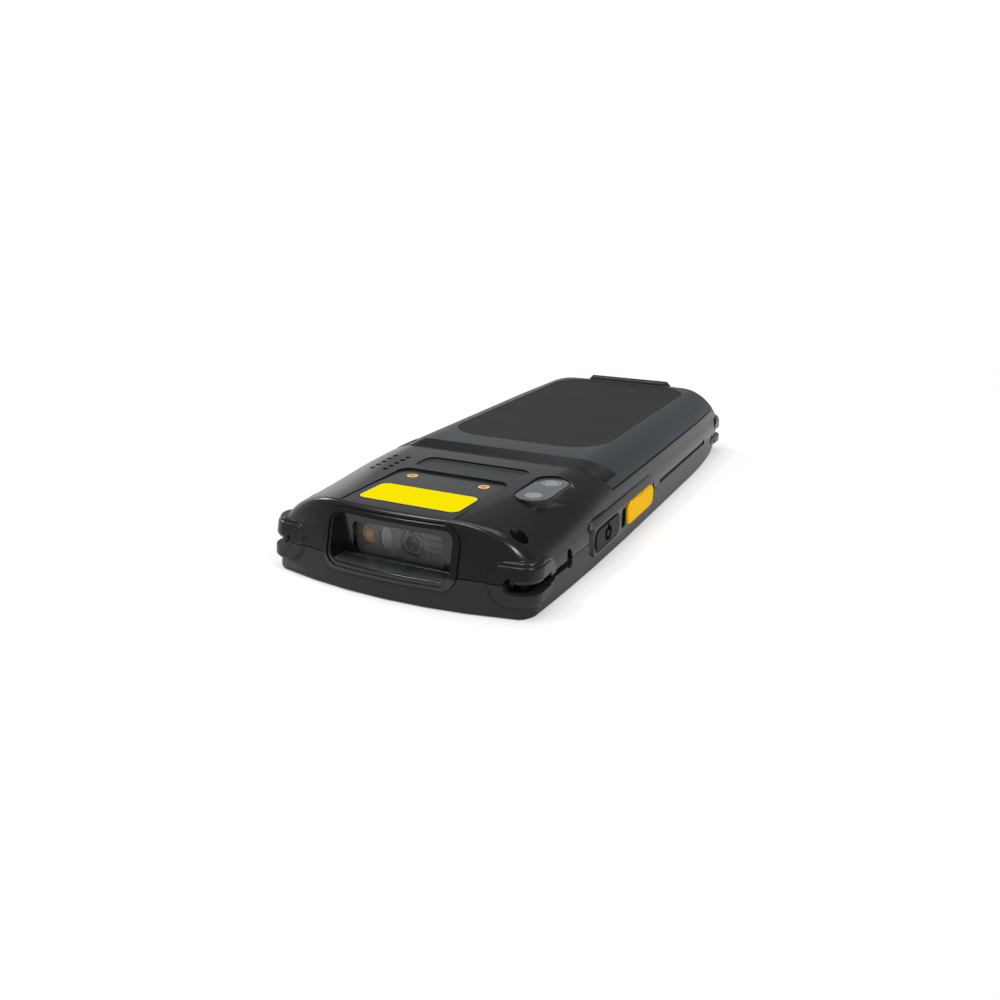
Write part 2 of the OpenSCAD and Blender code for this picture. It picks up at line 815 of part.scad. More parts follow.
// Raised seat of the camera window, with a steep front and a slope on its other sides
module cam_boss() {
    slope_h = 3.4;
    slope_w = 2.7;
    front_w = 0.5;
    r = cam_w / 2 - 0.06;
    z0 = camera_seat_z - 0.08 - slope_h;
    obround(cam_x, cam_d, cam_w, cam_l, z0 + 1, camera_seat_z);
    hull() {
        for (spot = [[-cam_far, front_w], [7 - cam_far, slope_w], [cam_far, slope_w]]) {
            translate([cam_x, cam_d + spot[0], z0])
                cylinder(r1 = r + spot[1], r2 = r, h = slope_h, $fn = 48);
        }
    }
}

// Cavity under the head part of the rear face, with sloping shoulders
module head_cavity() {
    shoulder = [
        [far, 0], [far, part_z + 4.4], [pod_floor_x - pod_wall_t, part_z + 4.4],
        [pod_floor_x - 4.2, cavity_top - 3], [pod_floor_x - 8.2, cavity_top - 0.9],
        [20.5, cavity_top]
    ];
    intersection() {
        translate([0, 0, part_z - 1]) linear_extrude(cavity_top - part_z + 1) cavity_plan(0);
        translate([0, door_d - 2.4, 0]) rotate([90, 0, 0]) linear_extrude(door_d - 3) polygon([
            for (p = shoulder) p,
            for (i = [len(shoulder) - 1:-1:0]) [-shoulder[i][0], shoulder[i][1]]
        ]);
    }
}

module finger_scoop() {
    z1 = part_z + 3.6;
    x = half_w(widest_d);
    translate([0, body_l - 30, 0]) rotate([90, 0, 0]) linear_extrude(body_l - 30 - pod_d - pod_l - 5.5)
        polygon([[x - 0.9, part_z - 1], [x + 5, part_z - 1], [x + 5, z1], [x, z1 - 0.3]]);
}

module sound_holes() {
    for (i = [0:4]) {
        for (side = [-1, 1]) {
            translate([speaker_x + side * sound_column, speaker_d + sound_pitch * (i - 2),
                cavity_top - 3]) cylinder(r = sound_r, h = far);
        }
    }
}

module rear_housing() {
    color("#1b1c1e") from_head() difference() {
        union() {
            difference() {
                union() {
                    high_form();
                    all_guards(part_z, far);
                    cam_boss();
                }
                head_cavity();
                // Room for the main board under the battery bay
                translate([0, 0, part_z - 1]) linear_extrude(1.6) cavity_plan(0);
            }
            for (x = [-insert_pitch / 2, insert_pitch / 2]) {
                translate([x, insert_d, panel_z - insert_l - 1]) cylinder(r = 2.8, h = insert_l);
            }
        }
        // Place of the battery door, and the bay under it
        translate([0, 0, seam_z]) linear_extrude(far) door_plan(0);
        cell_form(0.3, cell_d - 0.3, cell_d + cell_l + 0.3, cell_top + 5);
        plate(0, (panel_d - 5) / 2, panel_w, panel_d + 5, 3, panel_z, far);
        plate(rating_x, rating_d, rating_w + 0.4, rating_l + 0.4, label_r + 0.2, rating_z, far);
        plate(label_x, label_d, label_w + 0.2, label_l + 0.2, label_r + 0.1,
            panel_z - label_t - 0.05, far);
        for (x = [-insert_pitch / 2, insert_pitch / 2]) {
            translate([x, insert_d, panel_z - insert_l]) cylinder(r = insert_r + 0.02, h = far);
        }
        // Seats of the camera window, the lens barrel and the lamp
        obround(cam_x, cam_d, cam_w - 0.8, cam_l - 0.8, camera_seat_z - 0.8, far);
        translate([cam_x, cam_d + cam_far, part_z]) cylinder(r = 3.3, h = far);
        translate([cam_x, cam_d - cam_far, part_z]) cylinder(r = 2.2, h = far);
        sound_holes();
        both_sides() finger_scoop();
        side_openings();
        bezel_pocket();
        screw_cut();
        all_corners();
        cover_pocket();
        socket_room();
        for (x = contact_x) {
            upright(x, contact_z, 2.2, 2.2, 0.5, contact_back_d, body_l);
        }
        slab(-6, 6, cell_d - 3, cell_d + 1, bay_floor_z - 0.05, seam_z + 1);
        door_tongues(0.25);
        both_sides() slab(side_post_tip - side_travel - 2.2, pod_floor_x - pod_wall_t - 0.2, pod_d + 2,
            pod_d + pod_l - 1, part_z - 1, key_z + 2.5);
    }
}

// ---- battery door ---------------------------------------------------------

pad_far = body_l - 8;
pad_r = 11.5;

tongue_x = 14;
tongue_w = 6;
tongue_z = 16.9;
tongue_h = 1;
tongue_out = 1.3;

// Tongues at the door's front edge, which hook under the housing's edge
module door_tongues(g) {
    both_sides() slab(tongue_x - tongue_w / 2 - g, tongue_x + tongue_w / 2 + g,
        door_d + door_gap - tongue_out - g, door_d + door_gap + (g > 0 ? 0 : 1),
        tongue_z - 2 * g, tongue_z + tongue_h + g);
}

module battery_door() {
    color("#23262a") from_head() difference() {
        union() {
            intersection() {
                high_form();
                translate([0, 0, seam_z + door_gap]) linear_extrude(far) door_plan(door_gap);
            }
            door_tongues(0);
        }
        // Hollow over the battery, longer at the front so that the door can swing up
        cell_form(0.5, cell_d - 2.4, cell_d + cell_l + 0.5, cell_top + 0.3);
        plate(0, (pad_d + pad_far) / 2, pad_w + 2 * seat_gap, pad_far - pad_d + 2 * seat_gap, pad_r,
            body_h - 0.2 - pad_t, far);
        cover_pocket();
    }
}

module door_pad() {
    color("#161719") from_head()
        plate(0, (pad_d + pad_far) / 2, pad_w, pad_far - pad_d, pad_r, body_h - 0.2 - pad_t,
            body_h - 0.2);
}

// ---- scan window ----------------------------------------------------------

// Part of an upright plate that lies between the head face and a depth behind it
module face_plate(w, h, r, g0, g1) {
    difference() {
        intersection() {
            upright(0, bezel_z, w, h, r, -3, 8);
            behind_face(g0);
        }
        behind_face(g1);
    }
}

module scan_bezel() {
    hole_w = bezel_w - 2 * bezel_rim;
    sill_z = bezel_hole_z - bezel_hole_h / 2;
    clear_w = window_w - 3.2;
    clear_h = window_h - 1.8;
    color("#101113") from_head() {
        difference() {
            union() {
                face_plate(bezel_w, bezel_h, 4.1, 0, rim_t);
                // Bead along the outer edge
                difference() {
                    face_plate(bezel_w, bezel_h, 4.1, -bead_proud, rim_t / 2);
                    upright(0, bezel_z, bezel_w - 2 * bead_w, bezel_h - 2 * bead_w, 3.3, -5, 8);
                }
                intersection() {
                    upright(0, bezel_z, bezel_w - 1.6, bezel_h - 1.2, 3.5, -3, bezel_back_d);
                    behind_face(rim_t / 2);
                }
            }
            difference() {
                upright(0, bezel_hole_z, hole_w, bezel_hole_h, 2.4, -5, window_d - 1.5);
                // Sill that slopes up to the window
                translate([-far, 0, 0]) rotate([90, 0, 90]) linear_extrude(2 * far) polygon([
                    [0.6, sill_z - 1], [window_d, sill_z - 1], [window_d, sill_z + 0.4],
                    [0.6, sill_z]
                ]);
            }
            upright(0, window_z, clear_w, clear_h, 1.6, -5, far);
            upright(0, window_z, window_w + 2 * seat_gap, window_h + 2 * seat_gap, 2.5, window_d,
                far);
        }
    }
}

module scan_window() {
    color("#3a3d42") from_head()
        upright(0, window_z, window_w, window_h, 2.4, window_d, window_d + window_t);
}

engine_d = bezel_back_d + 0.2;
engine_l = 11;
engine_w = 26.4;
engine_h = 8.8;
aimer_x = -10.4;
lamp_x = -5.1;
imager_x = 2.25;

module scan_engine() {
    color("#17181a") from_head() difference() {
        upright(0, engine_z, engine_w, engine_h, 0.8, engine_d, engine_d + engine_l);
        upright(aimer_x, engine_z, 4.6, 4.6, 2.29, engine_d - 1, engine_d + 2.2);
        upright(lamp_x, engine_z, 3.2, 5.4, 1.59, engine_d - 1, engine_d + 2.2);
        upright(imager_x, engine_z, 6.8, 6.8, 3.39, engine_d - 1, engine_d + 4);
        // Slots of the lamp's mirror
        for (z = [-1.6:1.6:1.6]) {
            slab(6.6, 11.6, engine_d - 1, engine_d + 0.5, engine_z + z - 0.2, engine_z + z + 0.2);
        }
        // Screw ears of the module
        for (x = [-11, 11]) {
            translate([x, engine_d + engine_l - 3, 0]) cylinder(r = 0.9, h = far);
        }
    }
}

module imager_lens() {
    color("#2b2e33") from_head() translate([imager_x, engine_d + 3.9, engine_z])
        rotate([90, 0, 0]) rotate_extrude() polygon([
            [0, 0], [3.3, 0], [3.3, 3.6], [2.7, 3.9], [2.3, 3.9], [1.7, 2.6], [1, 2.9], [0, 3]
        ]);
}

module illumination_lens() {
    color("#c9ccd0") from_head()
        upright(lamp_x, engine_z, 2.9, 5.1, 1.44, engine_d + 0.4, engine_d + 2.1);
}

module aimer_led() {
    color("#c8741e") from_head() translate([aimer_x, engine_d + 2.1, engine_z])
        rotate([90, 0, 0]) rotate_extrude() polygon([
            [0, 0], [2.2, 0], [2.2, 0.6], [1.5, 0.6], [1.4, 1.1], [1, 1.5], [0.5, 1.7], [0, 1.75]
        ]);
}

// ---- labels and inserts ---------------------------------------------------

module head_label() {
    floor_z = panel_z - label_t - 0.05;
    color("#f2d21a") from_head()
        plate(label_x, label_d, label_w, label_l, label_r, floor_z, floor_z + label_t);
}

module rating_label() {
    color("#3d4248") from_head()
        plate(rating_x, rating_d, rating_w, rating_l, label_r, rating_z, rating_z + label_t);
}

module threaded_inserts() {
    color("#b9903f") from_head() for (x = [-insert_pitch / 2, insert_pitch / 2]) {
        translate([x, insert_d, panel_z - insert_l]) difference() {
            cylinder(r = insert_r, h = insert_l);
            translate([0, 0, -1]) cylinder(r = insert_bore, h = insert_l + 2);
        }
    }
}

// ---- camera and sound -----------------------------------------------------

module camera_window() {
    color("#2f363d") from_head()
        obround(cam_x, cam_d, cam_w - 1, cam_l - 1, camera_seat_z - 0.8, camera_seat_z - 0.1);
}

module camera_module() {
    color("#202226") from_head() translate([cam_x, cam_d + cam_far, 0]) difference() {
        union() {
            slab(-3.5, 3.5, -3.5, 3.5, 10.4, 13.6);
            translate([0, 0, 13.5]) cylinder(r = 3.2, h = camera_seat_z - 0.9 - 13.5);
        }
        translate([0, 0, camera_seat_z - 1.9]) cylinder(r1 = 0.8, r2 = 2.2, h = 1.1);
    }
}

module flash_led() {
    color("#e8e3cf") from_head() translate([cam_x, cam_d - cam_far, 0]) {
        slab(-2.6, 2.6, -1.2, 2.6, 12.4, 13.5);
        translate([0, 0, 13.4]) cylinder(r = 2.1, h = camera_seat_z - 1 - 13.4);
    }
}

module speaker() {
    color("#34373b") from_head() translate([speaker_x, speaker_d, 0]) difference() {
        union() {
            slab(-6, 6, -8, 8, 12.4, 15.4);
            translate([0, 0, 15.3]) cylinder(r = 4, h = cavity_top - 0.8 - 15.3);
        }
        translate([0, 0, 16]) cylinder(r = 3.2, h = 5);
    }
}

module earpiece() {
    color("#34373b") from_head()
        plate(0, earpiece_d, 13.6, 4, 0.8, lens_sunk + lens_t + 0.1, front_t + 1.4);
}

// ---- screen ---------------------------------------------------------------

module touch_lens() {
    color("#15171b") from_head() difference() {
        plate(0, lens_d + lens_l / 2, lens_w, lens_l, 4.9, lens_sunk, lens_sunk + lens_t);
        plate(0, earpiece_d, 12, 1.4, 0.69, -1, far);
    }
}

module display_module() {
    color("#5a6068") from_head() {
        plate(0, display_d + display_l / 2, display_w, display_l, 0.9, lens_sunk + lens_t + 0.05,
            front_t + 1.6);
    }
}

// ---- boards ---------------------------------------------------------------

board_w = body_w - 19;
speaker_x = 15.6 - body_w / 2;
speaker_d = 30.4 + 2 * sound_pitch;
sound_column = 1.95;

module main_board() {
    top = board_z + board_t;
    color("#1f5a3a") from_head() difference() {
        union() {
            slab(-board_w / 2, board_w / 2, cavity_block_d + 1.5, tail_block_d - 1, board_z, top);
            slab(1 - cavity_head_x, cavity_head_x - 1, tail_block_d - 2, cavity_tail_d - 0.4,
                board_z, top);
            // Shielding cans and the larger chips
            slab(-22, -4, 56, 78, top - eps, top + 1);
            slab(2, 23, 54, 72, top - eps, top + 1);
            slab(-20, 2, 88, 110, top - eps, top + 1);
            slab(8, 22, 96, 106, top - eps, top + 0.9);
            slab(-18, 16, 124, 138, top - eps, top + 1);
        }
        for (x = [3 - board_w / 2, board_w / 2 - 3]) {
            for (d = [33, 118]) {
                translate([x, d, 0]) cylinder(r = 1.1, h = far);
            }
        }
    }
}

module keypad_board() {
    color("#24563c") from_head()
        plate(0, keypad_mid, keyboard_w, keyboard_l, 1.5, keyboard_z, keyboard_z + keyboard_t);
}

module key_domes() {
    color("#b8bcc0") from_head() for (k = all_keys) {
        translate([k[0], row_at(k[1]), keyboard_z - 0.2]) cylinder(r = 2.2, h = 0.2);
    }
}

module side_switches() {
    x0 = side_post_tip - side_travel - 0.05;
    module switch(d) {
        slab(x0 - 1.5, x0, d - 2, d + 2, key_z - 1.9, key_z + 1.9);
    }
    module strip() {
        slab(x0 - 1.9, x0 - 1.5 + eps, pod_d + 4, pod_d + pod_l - 3, key_z - 2.2, key_z + 2.2);
    }
    color("#c7c9cc") from_head() {
        union() {
            strip();
            switch(power_d);
            switch(scan_d);
        }
        mirror([1, 0, 0]) union() {
            strip();
            switch(power_d - rocker_arm);
            switch(power_d + rocker_arm);
            switch(scan_d);
        }
    }
}

module vibration_motor() {
    color("#b8bcc0") from_head()
        translate([-8, 42, board_z + board_t]) cylinder(r = 4, h = 2.7);
}

// ---- power and connectors -------------------------------------------------

module battery_pack() {
    color("#3c3f44") from_head() cell_form(0, cell_d, cell_d + cell_l, cell_top);
}

module battery_contacts() {
    color("#c29a45") from_head() difference() {
        slab(-5.8, 5.8, cell_d - 2.8, cell_d - 0.15, bay_floor_z, bay_floor_z + 3.6);
        for (x = [-4.2:2.8:4.2]) {
            slab(x - 0.4, x + 0.4, cell_d - 1.4, cell_d, bay_floor_z + 0.6, bay_floor_z + 4);
        }
    }
}

module usb_socket() {
    color("#b8bcc0") from_head() difference() {
        upright(0, usb_z, 9, 3.2, 1.5, usb_mouth_d - 7.6, usb_mouth_d);
        difference() {
            upright(0, usb_z, 8.4, 2.6, 1.2, usb_mouth_d - 6.6, usb_mouth_d + 1);
            slab(-3.3, 3.3, usb_mouth_d - 7, usb_mouth_d - 0.6, usb_z - 0.35, usb_z + 0.35);
        }
    }
}

module dock_contacts() {
    color("#c29a45") from_head() for (x = contact_x) {
        upright(x, contact_z, 2, 2, 0.4, contact_back_d + 0.2, usb_mouth_d - 0.1);
    }
}

module connector_cover() {
    half = cover_w / 2;
    top = cover_top;
    color("#0f1011") from_head() translate([0, cover_pivot_d, cover_pivot_z]) difference() {
        union() {
            rotate([cover_tilt, 0, 0]) intersection() {
                // Side profile, with the thumb lip at its top
                rotate([90, 0, 90]) linear_extrude(cover_w, center = true) polygon([
                    [cover_in, 0.2], [cover_out - 0.5, 0], [cover_out, 0.5],
                    [cover_out, top - lip_l], [cover_out + lip_out, top - lip_l + lip_out],
                    [cover_out + lip_out, top - 0.3], [cover_out + lip_out - 0.3, top],
                    [cover_out - 0.9, top], [cover_in, top - 0.8]
                ]);
                rotate([90, 0, 0]) linear_extrude(20, center = true) polygon([
                    [-half, -1], [half, -1], [half, top - lip_slant], [half - lip_slant, top + 0.1],
                    [lip_slant - half, top + 0.1], [-half, top - lip_slant]
                ]);
            }
            rotate([0, 90, 0]) cylinder(r = knuckle_r, h = cover_w, center = true);
        }
        rotate([0, 90, 0]) cylinder(r = pin_r + 0.03, h = far, center = true);
    }
}

module cover_pin() {
    color("#b8bcc0") from_head() translate([0, cover_pivot_d, cover_pivot_z])
        rotate([0, 90, 0]) cylinder(r = pin_r, h = cover_w + 5, center = true);
}

// ---- side keys ------------------------------------------------------------

module side_head(d, l, face_x) {
    side_plate(d, key_z, l, side_key_h, 2.4, flange_x0, face_x - 0.3);
    side_plate(d, key_z, l - 0.6, side_key_h - 0.6, 2.1, flange_x0, face_x);
}

module side_key(d, l, face_x) {
    side_head(d, l, face_x);
    side_plate(d, key_z, l + 1.2, side_key_h + 0.6, 2.6, flange_x0, flange_x1);
    side_post(d, key_z, post_r, side_post_tip, flange_x0 + eps);
}

module key_hole(d, l, flanged) {
    side_plate(d, key_z, l + 2 * key_gap, side_key_h + 2 * key_gap, 2.6, pod_floor_x - 1, far);
    if (flanged) {
        side_plate(d, key_z, l + 1.2 + 2 * key_gap, side_key_h + 0.6 + 2 * key_gap, 2.8,
            pod_floor_x - 1, flange_x1 + 0.05);
    }
}

pod_slope_w = 1.2;
pod_slope_h = 1.6;
pod_slope_l = 1.6;
slot_w = 2.8;
slot_h = 5.2;
slot_depth = 0.9;

// Pod with its upper edge and both ends sloping back to the housing
module pod_form() {
    low = pod_z - pod_h / 2;
    end = pod_d + pod_l;
    back_x = pod_x - pod_slope_w;
    intersection() {
        side_plate(pod_d + pod_l / 2, pod_z, pod_l, pod_h, 3.9, pod_floor_x, pod_x);
        translate([0, end + 1, 0]) rotate([90, 0, 0]) linear_extrude(pod_l + 2) polygon([
            [pod_floor_x - 1, low - 1], [pod_x, low - 1], [pod_x, pod_top - pod_slope_h],
            [back_x, pod_top + 0.05], [pod_floor_x - 1, pod_top + 0.05]
        ]);
        linear_extrude(far) polygon([
            [pod_floor_x - 1, pod_d - 0.05], [back_x, pod_d - 0.05], [pod_x, pod_d + pod_slope_l],
            [pod_x, end - pod_slope_l], [back_x, end + 0.05], [pod_floor_x - 1, end + 0.05]
        ]);
    }
}

module pod(rocker) {
    difference() {
        pod_form();
        key_hole(power_d, power_l, !rocker);
        key_hole(scan_d, scan_l, true);
        // Finger mark between the keys
        side_plate(scan_d - scan_l / 2 - slot_w / 2 - 0.8, key_z, slot_w, slot_h, 0.6,
            pod_x - slot_depth, far);
        if (rocker) {
            translate([rocker_x, power_d, 0]) cylinder(r = axle_r + 0.05, h = key_z + axle_l + 0.1);
        }
    }
}

module key_pod_right() {
    color("#151618") from_head() pod(false);
}

module key_pod_left() {
    color("#151618") from_head() mirror([1, 0, 0]) pod(true);
}

module power_key() {
    color("#191a1c") from_head() side_key(power_d, power_l, pod_x + 0.25);
}

module scan_key_right() {
    color("#f3a51a") from_head() side_key(scan_d, scan_l, pod_x + scan_proud);
}

module scan_key_left() {
    color("#f3a51a") from_head() mirror([1, 0, 0]) side_key(scan_d, scan_l, pod_x + scan_proud);
}

// Rocker with its own axle, which turns in the pod
module volume_rocker() {
    color("#191a1c") from_head() mirror([1, 0, 0]) {
        side_head(power_d, power_l, pod_x + 0.25);
        translate([rocker_x, power_d, key_z - axle_l]) cylinder(r = axle_r, h = 2 * axle_l);
        for (d = [power_d - rocker_arm, power_d + rocker_arm]) {
            side_post(d, key_z, post_r - 0.2, side_post_tip, flange_x0 + eps);
        }
    }
}

// ---- front keys -----------------------------------------------------------

key_face_z = 0.3;
flange_t = 0.5;

module front_key(i, tint) {
    k = all_keys[i];
    color(tint) from_head() {
        plate(k[0], row_at(k[1]), k[2] - 0.8, key_l - 0.8, 1.7, key_face_z, 1);
        plate(k[0], row_at(k[1]), k[2], key_l, 2, key_face_z + 0.4, front_t + 0.1);
        plate(k[0], row_at(k[1]), k[2] + 1, key_l + 1, 1.2, front_t + 0.05,
            front_t + 0.05 + flange_t);
        translate([k[0], row_at(k[1]), front_t]) cylinder(r = 1.2, h = key_post);
    }
}

module key_menu() { front_key(0, "#2a2c2f"); }
module key_scan() { front_key(1, "#f3a51a"); }
module key_back() { front_key(2, "#2a2c2f"); }
module key_left() { front_key(3, "#2a2c2f"); }
module key_up() { front_key(4, "#2a2c2f"); }
module key_down() { front_key(5, "#2a2c2f"); }
module key_right() { front_key(6, "#2a2c2f"); }
module key_1() { front_key(7, "#2a2c2f"); }
module key_2() { front_key(8, "#2a2c2f"); }
module key_3() { front_key(9, "#2a2c2f"); }
module key_4() { front_key(10, "#2a2c2f"); }
module key_5() { front_key(11, "#2a2c2f"); }
module key_6() { front_key(12, "#2a2c2f"); }
module key_7() { front_key(13, "#2a2c2f"); }
module key_8() { front_key(14, "#2a2c2f"); }
module key_9() { front_key(15, "#2a2c2f"); }
module key_star() { front_key(16, "#2a2c2f"); }
module key_0() { front_key(17, "#2a2c2f"); }
module key_hash() { front_key(18, "#2a2c2f"); }

// ---- screws and seal ------------------------------------------------------

module housing_screws() {
    color("#8d9094") from_head() at_screws() difference() {
        union() {
            translate([0, 0, screw_tip_z]) cylinder(r = screw_r, h = screw_seat_z - screw_tip_z + 1);
            translate([0, 0, screw_seat_z]) cylinder(r = screw_head_r, h = 1.6);
        }
        for (a = [0, 90]) {
            rotate([0, 0, a]) slab(-1.1, 1.1, -0.22, 0.22, screw_seat_z + 0.8, far);
        }
    }
}

module housing_seal() {
    color("#3a3c40") from_head() difference() {
        translate([0, 0, part_z - 0.6]) linear_extrude(0.6) difference() {
            cavity_plan(1.1 - seat_gap);
            cavity_plan(0.3);
        }
        side_openings();
        bezel_pocket();
        socket_room();
    }
}

front_housing();
rear_housing();
battery_door();
door_pad();
scan_bezel();
scan_window();
scan_engine();
imager_lens();
illumination_lens();
aimer_led();
head_label();
rating_label();
threaded_inserts();
camera_window();
camera_module();
flash_led();
speaker();
earpiece();
touch_lens();
display_module();
main_board();
keypad_board();
key_domes();
battery_pack();
battery_contacts();
usb_socket();
dock_contacts();
connector_cover();
cover_pin();
key_pod_right();
key_pod_left();
power_key();
scan_key_right();
scan_key_left();
volume_rocker();
side_switches();
housing_screws();
housing_seal();
vibration_motor();
key_menu();
key_scan();
key_back();
key_left();
key_up();
key_down();
key_right();
key_1();
key_2();
key_3();
key_4();
key_5();
key_6();
key_7();
key_8();
key_9();
key_star();
key_0();
key_hash();
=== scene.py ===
import math

import bmesh
import bpy
from mathutils import Matrix, Vector


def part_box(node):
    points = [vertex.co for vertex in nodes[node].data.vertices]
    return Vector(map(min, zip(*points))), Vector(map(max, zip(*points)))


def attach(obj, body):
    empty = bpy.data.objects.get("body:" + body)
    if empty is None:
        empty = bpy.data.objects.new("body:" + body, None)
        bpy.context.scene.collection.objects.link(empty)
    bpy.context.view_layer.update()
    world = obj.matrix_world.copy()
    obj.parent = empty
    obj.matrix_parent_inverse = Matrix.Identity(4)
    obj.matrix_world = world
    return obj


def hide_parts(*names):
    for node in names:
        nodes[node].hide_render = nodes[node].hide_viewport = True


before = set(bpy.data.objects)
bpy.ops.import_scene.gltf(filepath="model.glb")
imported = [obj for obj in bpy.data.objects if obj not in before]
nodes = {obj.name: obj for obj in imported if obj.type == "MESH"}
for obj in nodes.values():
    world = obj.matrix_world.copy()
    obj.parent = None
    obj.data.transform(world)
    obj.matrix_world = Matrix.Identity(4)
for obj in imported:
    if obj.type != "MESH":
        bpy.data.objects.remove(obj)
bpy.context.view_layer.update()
MM = 0.001

# ---- the housing's outer form ---------------------------------------------------

# All in millimetres; d is the distance from the head's end
LENGTH, WIDTH = 169.0, 72.0
# Level where the two mouldings meet
PART_Z = 7.8
# Rear face along the body and at the head, and the distance over which it rises
REAR_Z, HEAD_Z, REAR_RUN = 20.8, 19.85, 70.0
# Where the body is widest, and how much half width it loses to the head, the tail and the tail's foot
WIDEST_D = 98.0
HEAD_TAPER, TAIL_TAPER, FOOT_TAPER = 2.0, 1.2, 2.2
# Half width of the flat of the rear face, and the distances over which it changes
HEAD_FLAT, BODY_FLAT, TAIL_FLAT = 15.0, 22.4, 22.0
HEAD_RUN, TAIL_RUN = 50.0, 35.0
# Radii of the bowed end faces, and their lean below and above the parting line
HEAD_END_R, TAIL_END_R = 120.0, 150.0
HEAD_LEAN, TAIL_LEAN = (0.13, 0.27), (0.1, 0.25)
# Distance from an end over which its bow and lean fade out
END_FADE = 40.0
# Rounds of the upright corners, of the rear face's ends and of the edge round the screen side
CORNER_R, RIDGE_R, EDGE_R = 4.0, 1.2, 0.9
# A face this near the form, turned its way by this cosine, is shaded by it and weighs so many times more
FORM_REACH, FORM_FACING, FORM_WEIGHT = 0.12, 0.9, 20


def mix(a, b, t):
    return a + (b - a) * t


def ease(t):
    t = min(max(t, 0.0), 1.0)
    return t * t * (3 - 2 * t)


def half_w(d):
    """Half width of the housing at the parting line."""
    if d < WIDEST_D:
        return WIDTH / 2 - HEAD_TAPER * ((WIDEST_D - d) / WIDEST_D) ** 3
    return WIDTH / 2 - TAIL_TAPER * ((d - WIDEST_D) / (LENGTH - WIDEST_D)) ** 4


def foot_w(d):
    """Half width of the housing at its screen side."""
    return half_w(d) - FOOT_TAPER * (max(d - WIDEST_D, 0) / (LENGTH - WIDEST_D)) ** 4


def rear_z(d):
    return mix(HEAD_Z, REAR_Z, ease(d / REAR_RUN))


def flat_half(d):
    """Half width of the flat middle of the rear face."""
    tail_share = ease((d - LENGTH + TAIL_RUN) / TAIL_RUN)
    return mix(HEAD_FLAT, BODY_FLAT, ease(d / HEAD_RUN)) - (BODY_FLAT - TAIL_FLAT) * tail_share


def lean(z, low, high):
    return low * min(z, PART_Z) + high * max(z - PART_Z, 0)


def round_in(s, r):
    """How far a round of radius r draws the side in, at a distance s from the end."""
    return 0.0 if s >= r else r - math.sqrt(max(r * r - (r - s) ** 2, 0))


def form_value(x, y, z):
    """Zero on the smooth outer form of the housing, below zero inside it."""
    d = y + LENGTH / 2
    tail = d > WIDEST_D
    run = LENGTH - d if tail else d
    if tail:
        shift = x * x / (2 * TAIL_END_R) + lean(z, *TAIL_LEAN)
    else:
        shift = x * x / (2 * HEAD_END_R) + lean(z, *HEAD_LEAN)
    s = min((run - shift) / (1 - shift / END_FADE), run)
    d = LENGTH - s if tail else s
    half, foot, top, flat = half_w(d), foot_w(d), rear_z(d), flat_half(d)
    x = abs(x) / (1 - round_in(s, CORNER_R) / half)
    if z > PART_Z:
        rise = (z - PART_Z) / (top - PART_Z - round_in(s, RIDGE_R))
        value = (math.hypot(max(x - flat, 0) / (half - flat), rise) - 1) * (top - PART_Z)
    else:
        z = PART_Z + (z - PART_Z) / (1 - round_in(s, EDGE_R) / PART_Z)
        if z > EDGE_R:
            value = x - mix(foot, half, (z - EDGE_R) / (PART_Z - EDGE_R))
        else:
            value = math.hypot(max(x - foot + EDGE_R, 0), EDGE_R - z) - EDGE_R
    return max(value, -s)


def form_normal(co):
    """Distance from the smooth form in millimetres, and the form's normal there."""
    p = [c / MM for c in co]
    step = 0.004
    slope = []
    for k in range(3):
        ahead, behind = list(p), list(p)
        ahead[k] += step
        behind[k] -= step
        slope.append((form_value(*ahead) - form_value(*behind)) / (2 * step))
    normal = Vector(slope)
    size = max(normal.length, 1e-6)
    return abs(form_value(*p)) / size, normal / size


# ---- materials ------------------------------------------------------------------

COAT_ROUGH = 0.15
# Noise values that a finish is spread over, and those over which its second colour comes in
NOISE_LOW, NOISE_HIGH = 0.3, 0.7
TINT_LOW, TINT_HIGH = 0.35, 0.65
BROAD_SCALE = 60.0
GRAIN_DEPTH = 0.05 * MM
# Softness of a printed line's edge
PRINT_SOFT = 0.04
# Painted shade along the line between the two mouldings, and the stretch of it that lies in the finger
# scoops, where light is painted on the ledge instead
LINE_HALF, LINE_CORE = 0.13, 0.078
SEAM_SHADE_BLACK, LEDGE_PAINTED_LIGHT = (0.0005, 0.0005, 0.0005), (0.06, 0.06, 0.06)
SCOOP_START, SCOOP_END, SCOOP_SOFT = 86.5 - LENGTH / 2, 140 - LENGTH / 2, 0.2
# The bezel's level floor: its height and front, the paler tone painted on it for the light and reflection
# it catches, and how that fades to the back
SILL_TOP, SILL_FRONT, SILL_SOFT = 6.95, -83.3, 0.1
SILL_PAINTED_LIGHT = (0.045, 0.056, 0.063)
SILL_FADE_START, SILL_FADE_END, SILL_REST = 0.5, 3.5, 0.25


def link(tree, a, b):
    tree.links.new(a, b)


def calc(tree, operation, a, b=None, clamp=False):
    node = tree.nodes.new("ShaderNodeMath")
    node.operation = operation
    node.use_clamp = clamp
    for k, v in enumerate((a, b)):
        if v is None:
            continue
        if isinstance(v, (int, float)):
            node.inputs[k].default_value = v
        else:
            link(tree, v, node.inputs[k])
    return node.outputs[0]


def noise(tree, coords, scale):
    node = tree.nodes.new("ShaderNodeTexNoise")
    node.inputs["Scale"].default_value = scale
    link(tree, coords, node.inputs["Vector"])
    return node.outputs["Fac"]


def ranged(tree, value, low, high, out_low, out_high):
    node = tree.nodes.new("ShaderNodeMapRange")
    link(tree, value, node.inputs["Value"])
    for key, v in (("From Min", low), ("From Max", high), ("To Min", out_low), ("To Max", out_high)):
        node.inputs[key].default_value = v
    return node.outputs["Result"]


